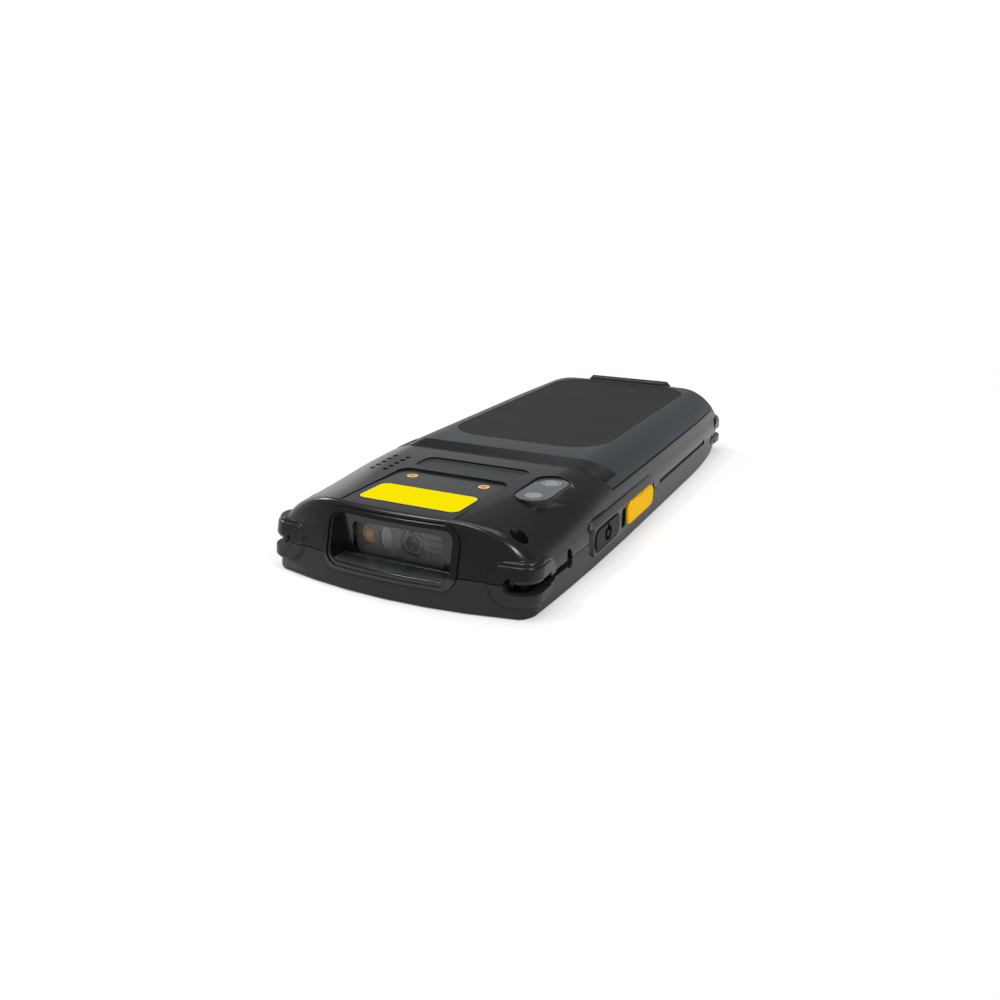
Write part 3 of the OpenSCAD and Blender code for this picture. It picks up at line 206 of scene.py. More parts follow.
def blended(tree, share, start, end):
    """Colour that runs from start to end with a share; each of them is a colour or a socket."""
    node = tree.nodes.new("ShaderNodeMix")
    node.data_type = "RGBA"
    for key, v in (("A", start), ("B", end)):
        if isinstance(v, tuple):
            node.inputs[key].default_value = (*v, 1)
        else:
            link(tree, v, node.inputs[key])
    link(tree, share, node.inputs["Factor"])
    return node.outputs["Result"]


def shader_of(tree):
    return tree.nodes["Principled BSDF"]


def coords_of(tree):
    """The object coordinates that the finish already reads."""
    return next(n for n in tree.nodes if n.type == "TEX_COORD").outputs["Object"]


def axes_of(tree):
    split = tree.nodes.new("ShaderNodeSeparateXYZ")
    link(tree, coords_of(tree), split.inputs[0])
    return tuple(split.outputs)


def finish_of(name, color, rough, metallic=0.0, level=0.5, grain=0.0, grain_scale=3000.0, vary=0.04,
              alpha=1.0, coat=0.0, shift=None):
    """A plain material: colour, roughness with slight variation, and a fine moulded grain."""
    mat = bpy.data.materials.new(name)
    mat.use_nodes = True
    tree = mat.node_tree
    bsdf = shader_of(tree)
    bsdf.inputs["Base Color"].default_value = (*color, 1)
    bsdf.inputs["Metallic"].default_value = metallic
    bsdf.inputs["Specular IOR Level"].default_value = level
    bsdf.inputs["Alpha"].default_value = alpha
    bsdf.inputs["Coat Weight"].default_value = coat
    bsdf.inputs["Coat Roughness"].default_value = COAT_ROUGH
    coords = tree.nodes.new("ShaderNodeTexCoord").outputs["Object"]
    speckle = noise(tree, coords, grain_scale)
    broad = noise(tree, coords, BROAD_SCALE)
    fine_rough = ranged(tree, speckle, NOISE_LOW, NOISE_HIGH, rough - vary, rough + vary)
    broad_rough = ranged(tree, broad, NOISE_LOW, NOISE_HIGH, -vary / 2, vary / 2)
    link(tree, calc(tree, "ADD", fine_rough, broad_rough), bsdf.inputs["Roughness"])
    if shift:
        share = ranged(tree, speckle, TINT_LOW, TINT_HIGH, 0, 1)
        link(tree, blended(tree, share, color, shift), bsdf.inputs["Base Color"])
    if grain:
        bump = tree.nodes.new("ShaderNodeBump")
        bump.inputs["Strength"].default_value = grain
        bump.inputs["Distance"].default_value = GRAIN_DEPTH
        link(tree, speckle, bump.inputs["Height"])
        link(tree, bump.outputs["Normal"], bsdf.inputs["Normal"])
    return mat


def bordered(name, fill, border, centre, size, radius, width, rough, level):
    """A printed film: fill colour inside, a thin border line along its rounded edge."""
    mat = finish_of(name, fill, rough, vary=0.03, level=level)
    tree = mat.node_tree
    squares = []
    for axis, middle, whole in zip(axes_of(tree), centre, size):
        away = calc(tree, "ABSOLUTE", calc(tree, "SUBTRACT", axis, middle * MM))
        past = calc(tree, "MAXIMUM", calc(tree, "SUBTRACT", away, (whole / 2 - radius) * MM), 0.0)
        squares.append(calc(tree, "MULTIPLY", past, past))
    reach = calc(tree, "SQRT", calc(tree, "ADD", *squares))
    start = radius - width
    line = ranged(tree, reach, (start - PRINT_SOFT) * MM, (start + PRINT_SOFT) * MM, 0, 1)
    link(tree, blended(tree, line, fill, border), shader_of(tree).inputs["Base Color"])
    return mat


def lined(mat):
    """Paints shade on the line where the two mouldings meet and takes its gloss away; along the finger
    scoops it paints light on the ledge instead.
    """
    tree = mat.node_tree
    color, level = shader_of(tree).inputs["Base Color"], shader_of(tree).inputs["Specular IOR Level"]
    _, along, height = axes_of(tree)
    away = calc(tree, "ABSOLUTE", calc(tree, "SUBTRACT", height, PART_Z * MM))
    share = ranged(tree, away, LINE_CORE * MM, LINE_HALF * MM, 0, 1)
    beside = calc(tree, "ABSOLUTE", calc(tree, "SUBTRACT", along, (SCOOP_START + SCOOP_END) / 2 * MM))
    reach = (SCOOP_END - SCOOP_START) / 2
    inside = ranged(tree, beside, reach * MM, (reach + SCOOP_SOFT) * MM, 1, 0)
    # Black painted shade on the seam; painted light on the ledge in the scoops
    ledge = blended(tree, inside, SEAM_SHADE_BLACK, LEDGE_PAINTED_LIGHT)
    link(tree, blended(tree, share, ledge, tuple(color.default_value)[:3]), color)
    link(tree, calc(tree, "MULTIPLY", calc(tree, "MAXIMUM", share, inside), level.default_value), level)


def silled(mat):
    """Paints a paler tone on the level floor of the bezel, behind its curved face, for the light and
    reflection it catches.
    """
    tree = mat.node_tree
    color = shader_of(tree).inputs["Base Color"]
    across, along, height = axes_of(tree)
    bow = calc(tree, "DIVIDE", calc(tree, "MULTIPLY", across, across), 2 * HEAD_END_R * MM)
    depth = calc(tree, "SUBTRACT", along, bow)
    low = ranged(tree, height, (SILL_TOP - SILL_SOFT) * MM, SILL_TOP * MM, 1, 0)
    behind = ranged(tree, depth, (SILL_FRONT - SILL_SOFT) * MM, SILL_FRONT * MM, 0, 1)
    fade = ranged(tree, depth, (SILL_FRONT + SILL_FADE_START) * MM, (SILL_FRONT + SILL_FADE_END) * MM,
                  1, SILL_REST)
    share = calc(tree, "MULTIPLY", calc(tree, "MULTIPLY", low, behind), fade)
    link(tree, blended(tree, share, tuple(color.default_value)[:3], SILL_PAINTED_LIGHT), color)


black_plastic = finish_of("housing_black", (0.0112, 0.0116, 0.0124), 0.22, level=0.34, grain=0.14,
                          grain_scale=3600, vary=0.02)
lined(black_plastic)
lower_plastic = finish_of("lower_housing", (0.0225, 0.0225, 0.022), 0.34, level=0.2, grain=0.2,
                          grain_scale=3600, vary=0.02)
lined(lower_plastic)
door_plastic = finish_of("door_plastic", (0.0265, 0.0345, 0.04), 0.45, level=0.28, grain=0.3,
                         grain_scale=4200)
pad_plastic = finish_of("pad_rubber", (0.018, 0.0182, 0.0185), 0.7, level=0.12, grain=0.6,
                        grain_scale=2600, shift=(0.026, 0.027, 0.028))
band_plastic = finish_of("grip_band", (0.006, 0.0064, 0.007), 0.3, level=0.26, vary=0.02)
bezel_plastic = finish_of("bezel_gloss", (0.0045, 0.0045, 0.005), 0.18, level=0.6, grain=0.15,
                          grain_scale=3600)
silled(bezel_plastic)
cover_plastic = finish_of("cover_plastic", (0.008, 0.008, 0.009), 0.4, level=0.4, grain=0.2)
pod_rubber = finish_of("pod_rubber", (0.012, 0.0122, 0.013), 0.3, level=0.36, grain=0.2)
key_rubber = finish_of("key_rubber", (0.007, 0.0072, 0.0078), 0.34, level=0.05, grain=0.2)
front_key_plastic = finish_of("front_key", (0.035, 0.036, 0.04), 0.4, level=0.45, grain=0.15)
orange_plastic = finish_of("orange_key", (1.0, 0.55, 0.003), 0.5, level=0.02, grain=0.15,
                           grain_scale=2600)
seal_rubber = finish_of("seal_rubber", (0.04, 0.04, 0.045), 0.6)
engine_plastic = finish_of("engine_black", (0.165, 0.163, 0.162), 0.4, vary=0.0)
dark_plastic = finish_of("inner_black", (0.012, 0.012, 0.013), 0.6)
battery_film = finish_of("battery_wrap", (0.05, 0.055, 0.06), 0.4, coat=0.2)
board_mask = finish_of("circuit_board", (0.01, 0.09, 0.045), 0.35, shift=(0.012, 0.07, 0.04),
                       grain_scale=900)
# The window's pale grey, faintly seen at this alpha, is a painted reflection: an even haze on the glass
window_glass = finish_of("window_glass", (0.3, 0.3, 0.302), 0.06, level=0.25, vary=0.01, alpha=0.12)
camera_glass = finish_of("camera_glass", (0.06, 0.078, 0.085), 0.12, level=0.5, vary=0.02, coat=0.3)
screen_glass = finish_of("screen_glass", (0.004, 0.004, 0.005), 0.05, vary=0.01)
lens_glass = finish_of("lens_glass", (0.03, 0.03, 0.032), 0.08, vary=0.02, coat=1.0)
flash_glass = finish_of("flash_glass", (0.22, 0.205, 0.215), 0.25, vary=0.03, coat=0.2)
clear_lens = finish_of("clear_lens", (0.34, 0.36, 0.36), 0.2, vary=0.05, coat=0.6)
amber = finish_of("amber_led", (0.9, 0.44, 0.18), 0.15, vary=0.04, coat=0.5, shift=(1.0, 0.62, 0.3),
                  grain_scale=900)
brass = finish_of("brass", (0.95, 0.62, 0.2), 0.35, metallic=0.35, vary=0.06, grain_scale=1800)
steel = finish_of("steel", (0.6, 0.61, 0.63), 0.32, metallic=1.0, vary=0.05)
dark_steel = finish_of("dark_steel", (0.32, 0.32, 0.33), 0.3, metallic=1.0, vary=0.05)
# Black for thin strips laid where a groove or step is in shade: painted shade
groove_shade_black = finish_of("groove_shade_black", (0.001, 0.001, 0.001), 0.6, level=0.02)
ring_grey = finish_of("ring_grey", (0.3, 0.3, 0.31), 0.3)
mark_paint = finish_of("mark_paint", (0.7, 0.7, 0.7), 0.5)
mark_black = finish_of("mark_black", (0.002, 0.002, 0.002), 0.3, level=0.0)

LABEL_R = 2.5
# The head's film is so much wider and longer than its label, and reaches further from the head
FILM_GROW = 1.0


def film_span(label, grow):
    """Middle and size of a label's film seen from above, in millimetres."""
    low, high = [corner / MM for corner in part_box(label)]
    mid, size = (low + high) / 2, high - low
    return (mid.x, mid.y + grow / 2), (size.x + grow, size.y + grow)


head_mid, head_size = film_span("head_label", FILM_GROW)
yellow_film = bordered("yellow_label", (0.7, 0.58, 0.0), (0.012, 0.016, 0.13), head_mid, head_size,
                       LABEL_R, width=0.4, rough=0.5, level=0.0)
rating_mid, rating_size = film_span("rating_label", 0)
grey_film = bordered("grey_label", (0.025, 0.031, 0.035), (0.09, 0.1, 0.11), rating_mid, rating_size,
                     LABEL_R, width=0.3, rough=0.35, level=0.08)

# ---- piece helpers --------------------------------------------------------------

# CAD corners nearer than this, in metres, are one; faces within this angle, in degrees, are one
MERGE_REACH, FLAT_ANGLE = 2e-6, 0.6
# Edges sharper than this are rounded, unless a face beside them is narrower than so many widths
SHARP_ANGLE, NARROW_SHARE = 40, 1.3
# Angle in degrees past which an edge of a mark or thin plate is shaded sharp
CRISP = 20


def on_form(face):
    """Whether a face lies on the smooth outer form, facing out."""
    distance, normal = form_normal(face.calc_center_median())
    return distance < FORM_REACH and normal.dot(face.normal) > FORM_FACING


def fans_of(vert, limit):
    """The face corners at a vertex, each with the number of the smooth group that it belongs to."""
    loops = list(vert.link_loops)
    group = list(range(len(loops)))

    def root(i):
        while group[i] != i:
            i = group[i]
        return i

    by_face = {l.face: i for i, l in enumerate(loops)}
    for e in vert.link_edges:
        if len(e.link_faces) == 2:
            a, b = e.link_faces
            if a in by_face and b in by_face and a.normal.dot(b.normal) > limit:
                group[root(by_face[a])] = root(by_face[b])
    return [(l, root(i)) for i, l in enumerate(loops)]


def shading_normals(bm, form_like, smooth):
    """Normals in the order of the face corners: the form's own on it, else an average over each group."""
    limit = math.cos(math.radians(smooth))
    bm.faces.index_update()
    facts = [(f.calc_area(), form_like and on_form(f)) for f in bm.faces]
    normals = {}
    for v in bm.verts:
        fans = fans_of(v, limit)
        form = form_normal(v.co)[1] if any(facts[l.face.index][1] for l, fan in fans) else None
        sums = {}
        for l, fan in fans:
            area, near = facts[l.face.index]
            n = form * FORM_WEIGHT if near else l.face.normal
            sums[fan] = sums.get(fan, Vector((0, 0, 0))) + n * area * l.calc_angle()
        for l, fan in fans:
            if facts[l.face.index][1]:
                normals[l] = form
            else:
                normals[l] = sums[fan].normalized() if sums[fan].length > 0 else l.face.normal
    return [tuple(normals[l]) for f in bm.faces for l in f.loops]


def settle(bm, name, body, material, replaced=(), form_like=False, smooth=38):
    """Turns a bmesh into a piece with its shading normals, riding on a body."""
    bm.normal_update()
    for f in bm.faces:
        f.smooth = True
    normals = shading_normals(bm, form_like, smooth)
    mesh = bpy.data.meshes.new(name)
    bm.to_mesh(mesh)
    bm.free()
    mesh.normals_split_custom_set(normals)
    mesh.materials.append(material)
    obj = bpy.data.objects.new(name, mesh)
    bpy.context.scene.collection.objects.link(obj)
    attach(obj, body)
    if replaced:
        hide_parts(*replaced)


def break_edges(bm, width, segments):
    """Rounds the sharp edges of a solid, except beside faces too narrow for it."""
    narrow = set()
    for f in bm.faces:
        rim = sum(e.calc_length() for e in f.edges)
        if rim > 0 and 2 * f.calc_area() / rim < width * MM * NARROW_SHARE:
            narrow.add(f)
    chosen = []
    for e in bm.edges:
        if len(e.link_faces) != 2 or any(f in narrow for f in e.link_faces):
            continue
        if math.degrees(e.calc_face_angle(0)) >= SHARP_ANGLE:
            chosen.append(e)
    bmesh.ops.bevel(bm, geom=chosen, offset=width * MM, offset_type="OFFSET", segments=segments,
                    profile=0.5, affect="EDGES", clamp_overlap=False, material=-1)


def copy_part(node, body, material, width=0.1, segments=2, form_like=False):
    """Copy of a CAD node with its edges rounded by a width in millimetres; it stands in for the node."""
    bm = bmesh.new()
    bm.from_mesh(nodes[node].data)
    bmesh.ops.remove_doubles(bm, verts=bm.verts, dist=MERGE_REACH)
    bmesh.ops.dissolve_limit(bm, angle_limit=math.radians(FLAT_ANGLE), verts=bm.verts, edges=bm.edges)
    break_edges(bm, width, segments)
    settle(bm, node + "_shell", body, material, (node,), form_like)


def drawn_out(bm, way):
    """Gives a flat bmesh its thickness along a vector."""
    grown = bmesh.ops.extrude_face_region(bm, geom=bm.faces[:])["geom"]
    bmesh.ops.translate(bm, verts=[g for g in grown if isinstance(g, bmesh.types.BMVert)], vec=way)
    bmesh.ops.recalc_face_normals(bm, faces=bm.faces)


def place_at(point, turn=None):
    """Matrix that brings a shape drawn in millimetres to a point, turned first."""
    return Matrix.Translation(point) @ (turn or Matrix.Identity(4)) @ Matrix.Scale(MM, 4)


def plate_of(points, depth, place):
    """Thin plate over a flat outline, put in place by a matrix."""
    bm = bmesh.new()
    bm.faces.new([bm.verts.new((x, y, 0)) for x, y in points])
    drawn_out(bm, (0, 0, depth))
    bmesh.ops.transform(bm, matrix=place, verts=bm.verts)
    return bm


def arc_of(radius, width, depth, start, sweep, place):
    """Flat ring, or a part of one, with angles in degrees."""
    bm = bmesh.new()
    corners = [(-width / 2, 0), (width / 2, 0), (width / 2, depth), (-width / 2, depth)]
    bm.faces.new([bm.verts.new((radius + x, 0, z)) for x, z in corners])
    bmesh.ops.rotate(bm, verts=bm.verts, matrix=Matrix.Rotation(math.radians(start), 3, "Z"))
    whole = sweep >= 360
    if whole:
        bmesh.ops.delete(bm, geom=bm.faces[:], context="FACES_ONLY")
    bmesh.ops.spin(bm, geom=bm.verts[:] + bm.edges[:] + bm.faces[:], cent=(0, 0, 0), axis=(0, 0, 1),
                   angle=math.radians(sweep), steps=48, use_merge=whole)
    bmesh.ops.recalc_face_normals(bm, faces=bm.faces)
    bmesh.ops.transform(bm, matrix=place, verts=bm.verts)
    return bm


def joined(parts):
    """One bmesh of several, which are used up."""
    whole = bmesh.new()
    for bm in parts:
        mesh = bpy.data.meshes.new("part")
        bm.to_mesh(mesh)
        bm.free()
        whole.from_mesh(mesh)
        bpy.data.meshes.remove(mesh)
    return whole


def bar(x, y, w, h):
    return [(x - w / 2, y - h / 2), (x + w / 2, y - h / 2), (x + w / 2, y + h / 2), (x - w / 2, y + h / 2)]


def rounded(w, h, r, steps=8):
    """Outline of a rectangle with round corners."""
    points = []
    for k, (sx, sy) in enumerate(((1, 1), (-1, 1), (-1, -1), (1, -1))):
        for i in range(steps + 1):
            a = math.radians(90 * k + 90 * i / steps)
            points.append((sx * (w / 2 - r) + r * math.cos(a), sy * (h / 2 - r) + r * math.sin(a)))
    return points


# ---- shells ---------------------------------------------------------------------

copy_part("rear_housing", "housing", black_plastic, 0.2, 3, form_like=True)
copy_part("front_housing", "housing", lower_plastic, 0.12, form_like=True)
copy_part("battery_door", "door", door_plastic, 0.14, form_like=True)
copy_part("door_pad", "door", pad_plastic, 0.15)
copy_part("scan_bezel", "housing", bezel_plastic, 0.3, 3)
copy_part("connector_cover", "tail_cover", cover_plastic, 0.2)
copy_part("key_pod_right", "housing", pod_rubber, 0.3, 3)
copy_part("key_pod_left", "housing", pod_rubber, 0.3, 3)
copy_part("power_key", "power_key_body", key_rubber, 0.12)
copy_part("volume_rocker", "volume_rocker_body", key_rubber, 0.12)
copy_part("scan_key_right", "scan_key_right_body", orange_plastic, 0.2, 3)
copy_part("scan_key_left", "scan_key_left_body", orange_plastic, 0.2, 3)
copy_part("rating_label", "housing", grey_film, 0.03, 1)
copy_part("threaded_inserts", "housing", brass, 0.12)
copy_part("housing_screws", "housing", dark_steel)
copy_part("camera_window", "housing", camera_glass)
copy_part("scan_window", "housing", window_glass, 0.08)
copy_part("touch_lens", "housing", screen_glass, 0.15)
copy_part("scan_engine", "housing", engine_plastic, 0.08)
copy_part("imager_lens", "housing", lens_glass, 0.05)
copy_part("illumination_lens", "housing", clear_lens, 0.2)
copy_part("aimer_led", "housing", amber, 0.05)

front_keys = ["key_menu", "key_scan", "key_back", "key_left", "key_up", "key_down", "key_right"]
front_keys += ["key_%d" % i for i in range(1, 10)] + ["key_star", "key_0", "key_hash"]
for key in front_keys:
    tint = orange_plastic if key == "key_scan" else front_key_plastic
    copy_part(key, key + "_body", tint, 0.15)

# ---- grip band across the door's front edge -------------------------------------

# Front edge of the door, its bow outside the flat, and the gap in front of it
DOOR_D, DOOR_BOW, DOOR_GAP = 51.3, 0.036, 0.25
# Half girth and length of the band, its distance from the door's edge, and its pyramids
BAND_REACH, BAND_LENGTH, BAND_INSET = 34.6, 8.2, 0.25
PYRAMID_PITCH, PYRAMID_HEIGHT, PYRAMID_SINK = 0.62, 0.18, 0.03
# Degrees that the rear face turns down over a run as long as its rounded side is wide
SIDE_TURN = 50


def door_edge(x):
    return DOOR_D + DOOR_BOW * max(abs(x) - BODY_FLAT, 0) ** 2


def rear_point(t, d):
    """Point of the rear face at a distance t from the middle, and its normal."""
    flat, half, top = flat_half(d), half_w(d), rear_z(d)
    side = 1 if t >= 0 else -1
    turn = math.radians(90 - max(abs(t) - flat, 0) / (half - flat) * SIDE_TURN)
    x = mix(flat, half, math.cos(turn)) if abs(t) > flat else abs(t)
    z = mix(PART_Z, top, math.sin(turn))
    normal = Vector((side * math.cos(turn) / (half - flat), 0, math.sin(turn) / (top - PART_Z)))
    return side * x, z, normal.normalized()


def grip_band():
    """Fine grip texture along the door's front edge, a field of low pyramids."""
    bm = bmesh.new()
    bmesh.ops.create_grid(bm, x_segments=int(2 * BAND_REACH / PYRAMID_PITCH),
                          y_segments=int(BAND_LENGTH / PYRAMID_PITCH), size=0.5)
    tips = set(bmesh.ops.poke(bm, faces=bm.faces[:])["verts"])
    for v in bm.verts:
        t, along = 2 * BAND_REACH * v.co.x, BAND_LENGTH * (v.co.y + 0.5)
        x = rear_point(t, DOOR_D)[0]
        d = door_edge(x) + DOOR_GAP + BAND_INSET + along
        x, z, normal = rear_point(t, d)
        height = PYRAMID_HEIGHT if v in tips else -PYRAMID_SINK
        v.co = (Vector((x, d - LENGTH / 2, z)) + normal * height) * MM
    bmesh.ops.recalc_face_normals(bm, faces=bm.faces)
    settle(bm, "grip_band", "door", band_plastic, smooth=5)


grip_band()

# ---- marks on the keys ----------------------------------------------------------

# How deep a mark is set into its key, and how thick the marks are
MARK_SINK = 0.02
POWER_MARK_DEPTH, KEY_MARK_DEPTH, DIGIT_HALF_DEPTH = 0.16, 0.08, 0.04
DIGIT_SIZE, DIGIT_LIFT = 5.2, 0.03
# Corners of a digit nearer than this, in metres, are one
DIGIT_MERGE = 1e-6
# Axes of a shape turned to face out of the right side, the screen side and the head
OUT_OF_SIDE = Matrix(((0, 0, 1, 0), (1, 0, 0, 0), (0, 1, 0, 0), (0, 0, 0, 1)))
OUT_OF_SCREEN = Matrix(((1, 0, 0, 0), (0, -1, 0, 0), (0, 0, -1, 0), (0, 0, 0, 1)))
OUT_OF_HEAD = Matrix(((1, 0, 0, 0), (0, 0, -1, 0), (0, 1, 0, 0), (0, 0, 0, 1)))


def power_mark():
    """Open ring with an upright bar in its gap."""
    low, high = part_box("power_key")
    mid = (low + high) / 2
    radius, line, gap_end, sweep = 1.6, 0.5, 128, 284
    upright_middle, upright_length = 1.5, 1.7
    place = place_at((high.x - MARK_SINK * MM, mid.y, mid.z), OUT_OF_SIDE)
    ring = arc_of(radius, line, POWER_MARK_DEPTH, gap_end, sweep, place)
    upright = plate_of(bar(0, upright_middle, line, upright_length), POWER_MARK_DEPTH, place)
    settle(joined([ring, upright]), "power_mark", "power_key_body", mark_black)


power_mark()


def face_place(key):
    low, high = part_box(key)
    mid = (low + high) / 2
    return place_at((mid.x, mid.y, low.z + MARK_SINK * MM), OUT_OF_SCREEN)


def digit_mark(key, text):
    """Thin raised character in the middle of a front key."""
    curve = bpy.data.curves.new(key + "_digit", "FONT")
    curve.body = text
    curve.size = DIGIT_SIZE
    curve.extrude = DIGIT_HALF_DEPTH
    curve.align_x = "CENTER"
    curve.align_y = "CENTER"
    holder = bpy.data.objects.new(key + "_digit", curve)
    bpy.context.scene.collection.objects.link(holder)
    graph = bpy.context.evaluated_depsgraph_get()
    mesh = bpy.data.meshes.new_from_object(holder.evaluated_get(graph))
    bpy.data.objects.remove(holder)
    bpy.data.curves.remove(curve)
    bm = bmesh.new()
    bm.from_mesh(mesh)
    bpy.data.meshes.remove(mesh)
    spans = [[v.co[k] for v in bm.verts] for k in range(2)]
    x, y = [(min(span) + max(span)) / 2 for span in spans]
    bmesh.ops.translate(bm, verts=bm.verts, vec=(-x, -y, DIGIT_LIFT))
    bmesh.ops.transform(bm, matrix=face_place(key), verts=bm.verts)
    bmesh.ops.remove_doubles(bm, verts=bm.verts, dist=DIGIT_MERGE)
    bmesh.ops.recalc_face_normals(bm, faces=bm.faces)
    settle(bm, key + "_mark", key + "_body", mark_paint, smooth=CRISP)


for key, text in [("key_%d" % i, str(i)) for i in range(10)] + [("key_star", "*"), ("key_hash", "#")]:
    digit_mark(key, text)


def shape_mark(key, shapes, material=mark_paint):
    """Thin raised mark made of flat outlines, in millimetres from the key's middle."""
    parts = [plate_of(s, KEY_MARK_DEPTH, face_place(key)) for s in shapes]
    settle(joined(parts), key + "_mark", key + "_body", material, smooth=CRISP)


shape_mark("key_up", [[(-1.5, -1), (1.5, -1), (0, 1.3)]])
shape_mark("key_down", [[(-1.5, 1), (0, -1.3), (1.5, 1)]])
shape_mark("key_left", [[(1, -1.5), (1, 1.5), (-1.3, 0)]])
shape_mark("key_right", [[(-1, -1.5), (1.3, 0), (-1, 1.5)]])
shape_mark("key_menu", [bar(0, y, 4, 0.5) for y in (-1.2, 0, 1.2)])
shape_mark("key_back", [[(-2, 0), (-0.6, -1.3), (-0.6, 1.3)], bar(0.9, 0, 3, 0.6)])
stripes = ((-2.2, 0.5), (-1.2, 0.3), (-0.3, 0.7), (0.8, 0.3), (1.9, 0.6))
shape_mark("key_scan", [bar(x, 0, w, 2.8) for x, w in stripes], dark_plastic)

# ---- head label and seat edges --------------------------------------------------

# The inserts end flush with the seat
SEAT_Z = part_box("threaded_inserts")[1].z / MM
FILM_SINK, FILM_DEPTH = 0.1, 0.13
# The dark bead along each edge of the seat, painted shade of its step: its rear and front end as half width
# and d, and its section
BEAD_START, BEAD_END = (15.35, 28.5), (14.9, 6.6)
BEAD_WIDTH, BEAD_DEPTH = 0.3, 0.1

label_place = place_at(Vector((*head_mid, SEAT_Z - FILM_SINK)) * MM)
label_plate = plate_of(rounded(*head_size, LABEL_R), FILM_DEPTH, label_place)
settle(label_plate, "head_label_film", "housing", yellow_film, ("head_label",))


def seat_edge(side, name):
    """Thin black bead where the flat seat meets the head's rounded side, painted shade along that edge."""
    (start_x, start_d), (end_x, end_d) = BEAD_START, BEAD_END
    bm = bmesh.new()
    section = bar(side * start_x, SEAT_Z, BEAD_WIDTH, BEAD_DEPTH)
    bm.faces.new([bm.verts.new(Vector((x, start_d - LENGTH / 2, z)) * MM) for x, z in section])
    drawn_out(bm, (side * (end_x - start_x) * MM, (end_d - start_d) * MM, 0))
    settle(bm, name, "housing", groove_shade_black, smooth=CRISP)


seat_edge(1, "seat_edge_right")
seat_edge(-1, "seat_edge_left")

# ---- camera window --------------------------------------------------------------

# Distance of lens and flash from the window's middle, and the thickness of their shapes
EYE_OFFSET, EYE_DEPTH, EYE_CHAMFER = 5.25, 0.04, 0.02
LENS_DISC_R, FLASH_DISC_R, LENS_RING_R, LENS_RING_WIDTH = 1.75, 2.1, 2.25, 0.3
# The black ring of painted shade for the groove: by how much its inner and outer edges are wider than the
# window, its depth and its lift
GROOVE_INNER, GROOVE_OUTER, GROOVE_DEPTH, GROOVE_LIFT = -0.04, 0.6, 0.08, 0.05
# Keeps the corners of its round ends apart
END_SLACK = 0.01


def disc(name, place, radius):
    """Flat pale disc that shows the lens or the flash."""
    bm = bmesh.new()
    bmesh.ops.create_cone(bm, cap_ends=True, segments=64, radius1=radius, radius2=radius - EYE_CHAMFER,
                          depth=EYE_DEPTH)
    bmesh.ops.transform(bm, matrix=place, verts=bm.verts)
    settle(bm, name, "housing", flash_glass, smooth=30)


glass_low, glass_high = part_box("camera_window")
glass_mid = (glass_low + glass_high) / 2
lens_place = place_at((glass_mid.x, glass_mid.y + EYE_OFFSET * MM, glass_high.z))
flash_place = place_at((glass_mid.x, glass_mid.y - EYE_OFFSET * MM, glass_high.z))
disc("camera_lens_disc", lens_place, LENS_DISC_R)
lens_ring = arc_of(LENS_RING_R, LENS_RING_WIDTH, EYE_DEPTH, 0, 360, lens_place)
settle(lens_ring, "camera_lens_ring", "housing", ring_grey)
disc("flash_disc", flash_place, FLASH_DISC_R)


def camera_groove():
    """Thin black ring laid round the camera window, painted shade of the groove where it sits in the
    housing.
    """
    w, h = (glass_high.x - glass_low.x) / MM, (glass_high.y - glass_low.y) / MM
    bm = bmesh.new()
    for grow in (GROOVE_INNER, GROOVE_OUTER):
        points = rounded(w + grow, h + grow, (w + grow) / 2 - END_SLACK)
        rim = [bm.verts.new((x, y, 0)) for x, y in points]
        for a, b in zip(rim, rim[1:] + rim[:1]):
            bm.edges.new((a, b))
    bmesh.ops.bridge_loops(bm, edges=bm.edges[:])
    drawn_out(bm, (0, 0, GROOVE_DEPTH))
    place = place_at((glass_mid.x, glass_mid.y, glass_high.z + GROOVE_LIFT * MM))
    bmesh.ops.transform(bm, matrix=place, verts=bm.verts)
    settle(bm, "camera_groove", "housing", groove_shade_black, smooth=30)


camera_groove()

# ---- rings on the imager lens ---------------------------------------------------

RING_WIDTH, RING_DEPTH = 0.12, 0.03

lens_low, lens_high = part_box("imager_lens")
lens_mid = (lens_low + lens_high) / 2
lens_r = (lens_high.x - lens_low.x) / 2 / MM
ring_place = place_at((lens_mid.x, lens_low.y, lens_mid.z), OUT_OF_HEAD)
for name, share in (("imager_rim", 0.96), ("imager_ring", 0.62)):
    ring = arc_of(lens_r * share, RING_WIDTH, RING_DEPTH, 0, 360, ring_place)
    settle(ring, name, "housing", ring_grey)

# ---- pieces kept as they are ----------------------------------------------------

for names, material in (
    (("battery_pack",), battery_film),
    (("main_board", "keypad_board"), board_mask),
    (("display_module", "key_domes", "cover_pin", "side_switches", "usb_socket", "vibration_motor"), steel),
    (("battery_contacts", "dock_contacts"), brass),
    (("camera_module", "speaker", "earpiece"), dark_plastic),
    (("flash_led",), clear_lens),
    (("housing_seal",), seal_rubber),
):
    for n in names:
        nodes[n].data.materials.clear()
        nodes[n].data.materials.append(material)

# ---- floor, backdrop, light and camera ------------------------------------------

# All in metres. The floor is this share of plain white up to one distance from the middle and all of
# it from another; gloss sees it dimmer
FLOOR_NEAR, FLOOR_FAR, FLOOR_SHARE, FLOOR_GLOSS = 0.09, 0.35, 0.45, 0.75
FLOOR_R, FLOOR_DROP = 2.5, 0.02 * MM
AMBIENT = 0.3
# White all round; gloss shows it low behind the terminal, below a grey ceiling
BACKDROP_RISE, BACKDROP_SLOPE, BACKDROP_TURN, CEILING = (0.19, 0.338), 0.09, (-0.2, 0.5), 0.2
AZIMUTH, ELEVATION, ROLL = math.radians(26.31), math.radians(18.48), math.radians(0.40)
CAMERA_PLACE = Vector((0.10739, -0.24301, 0.08729))


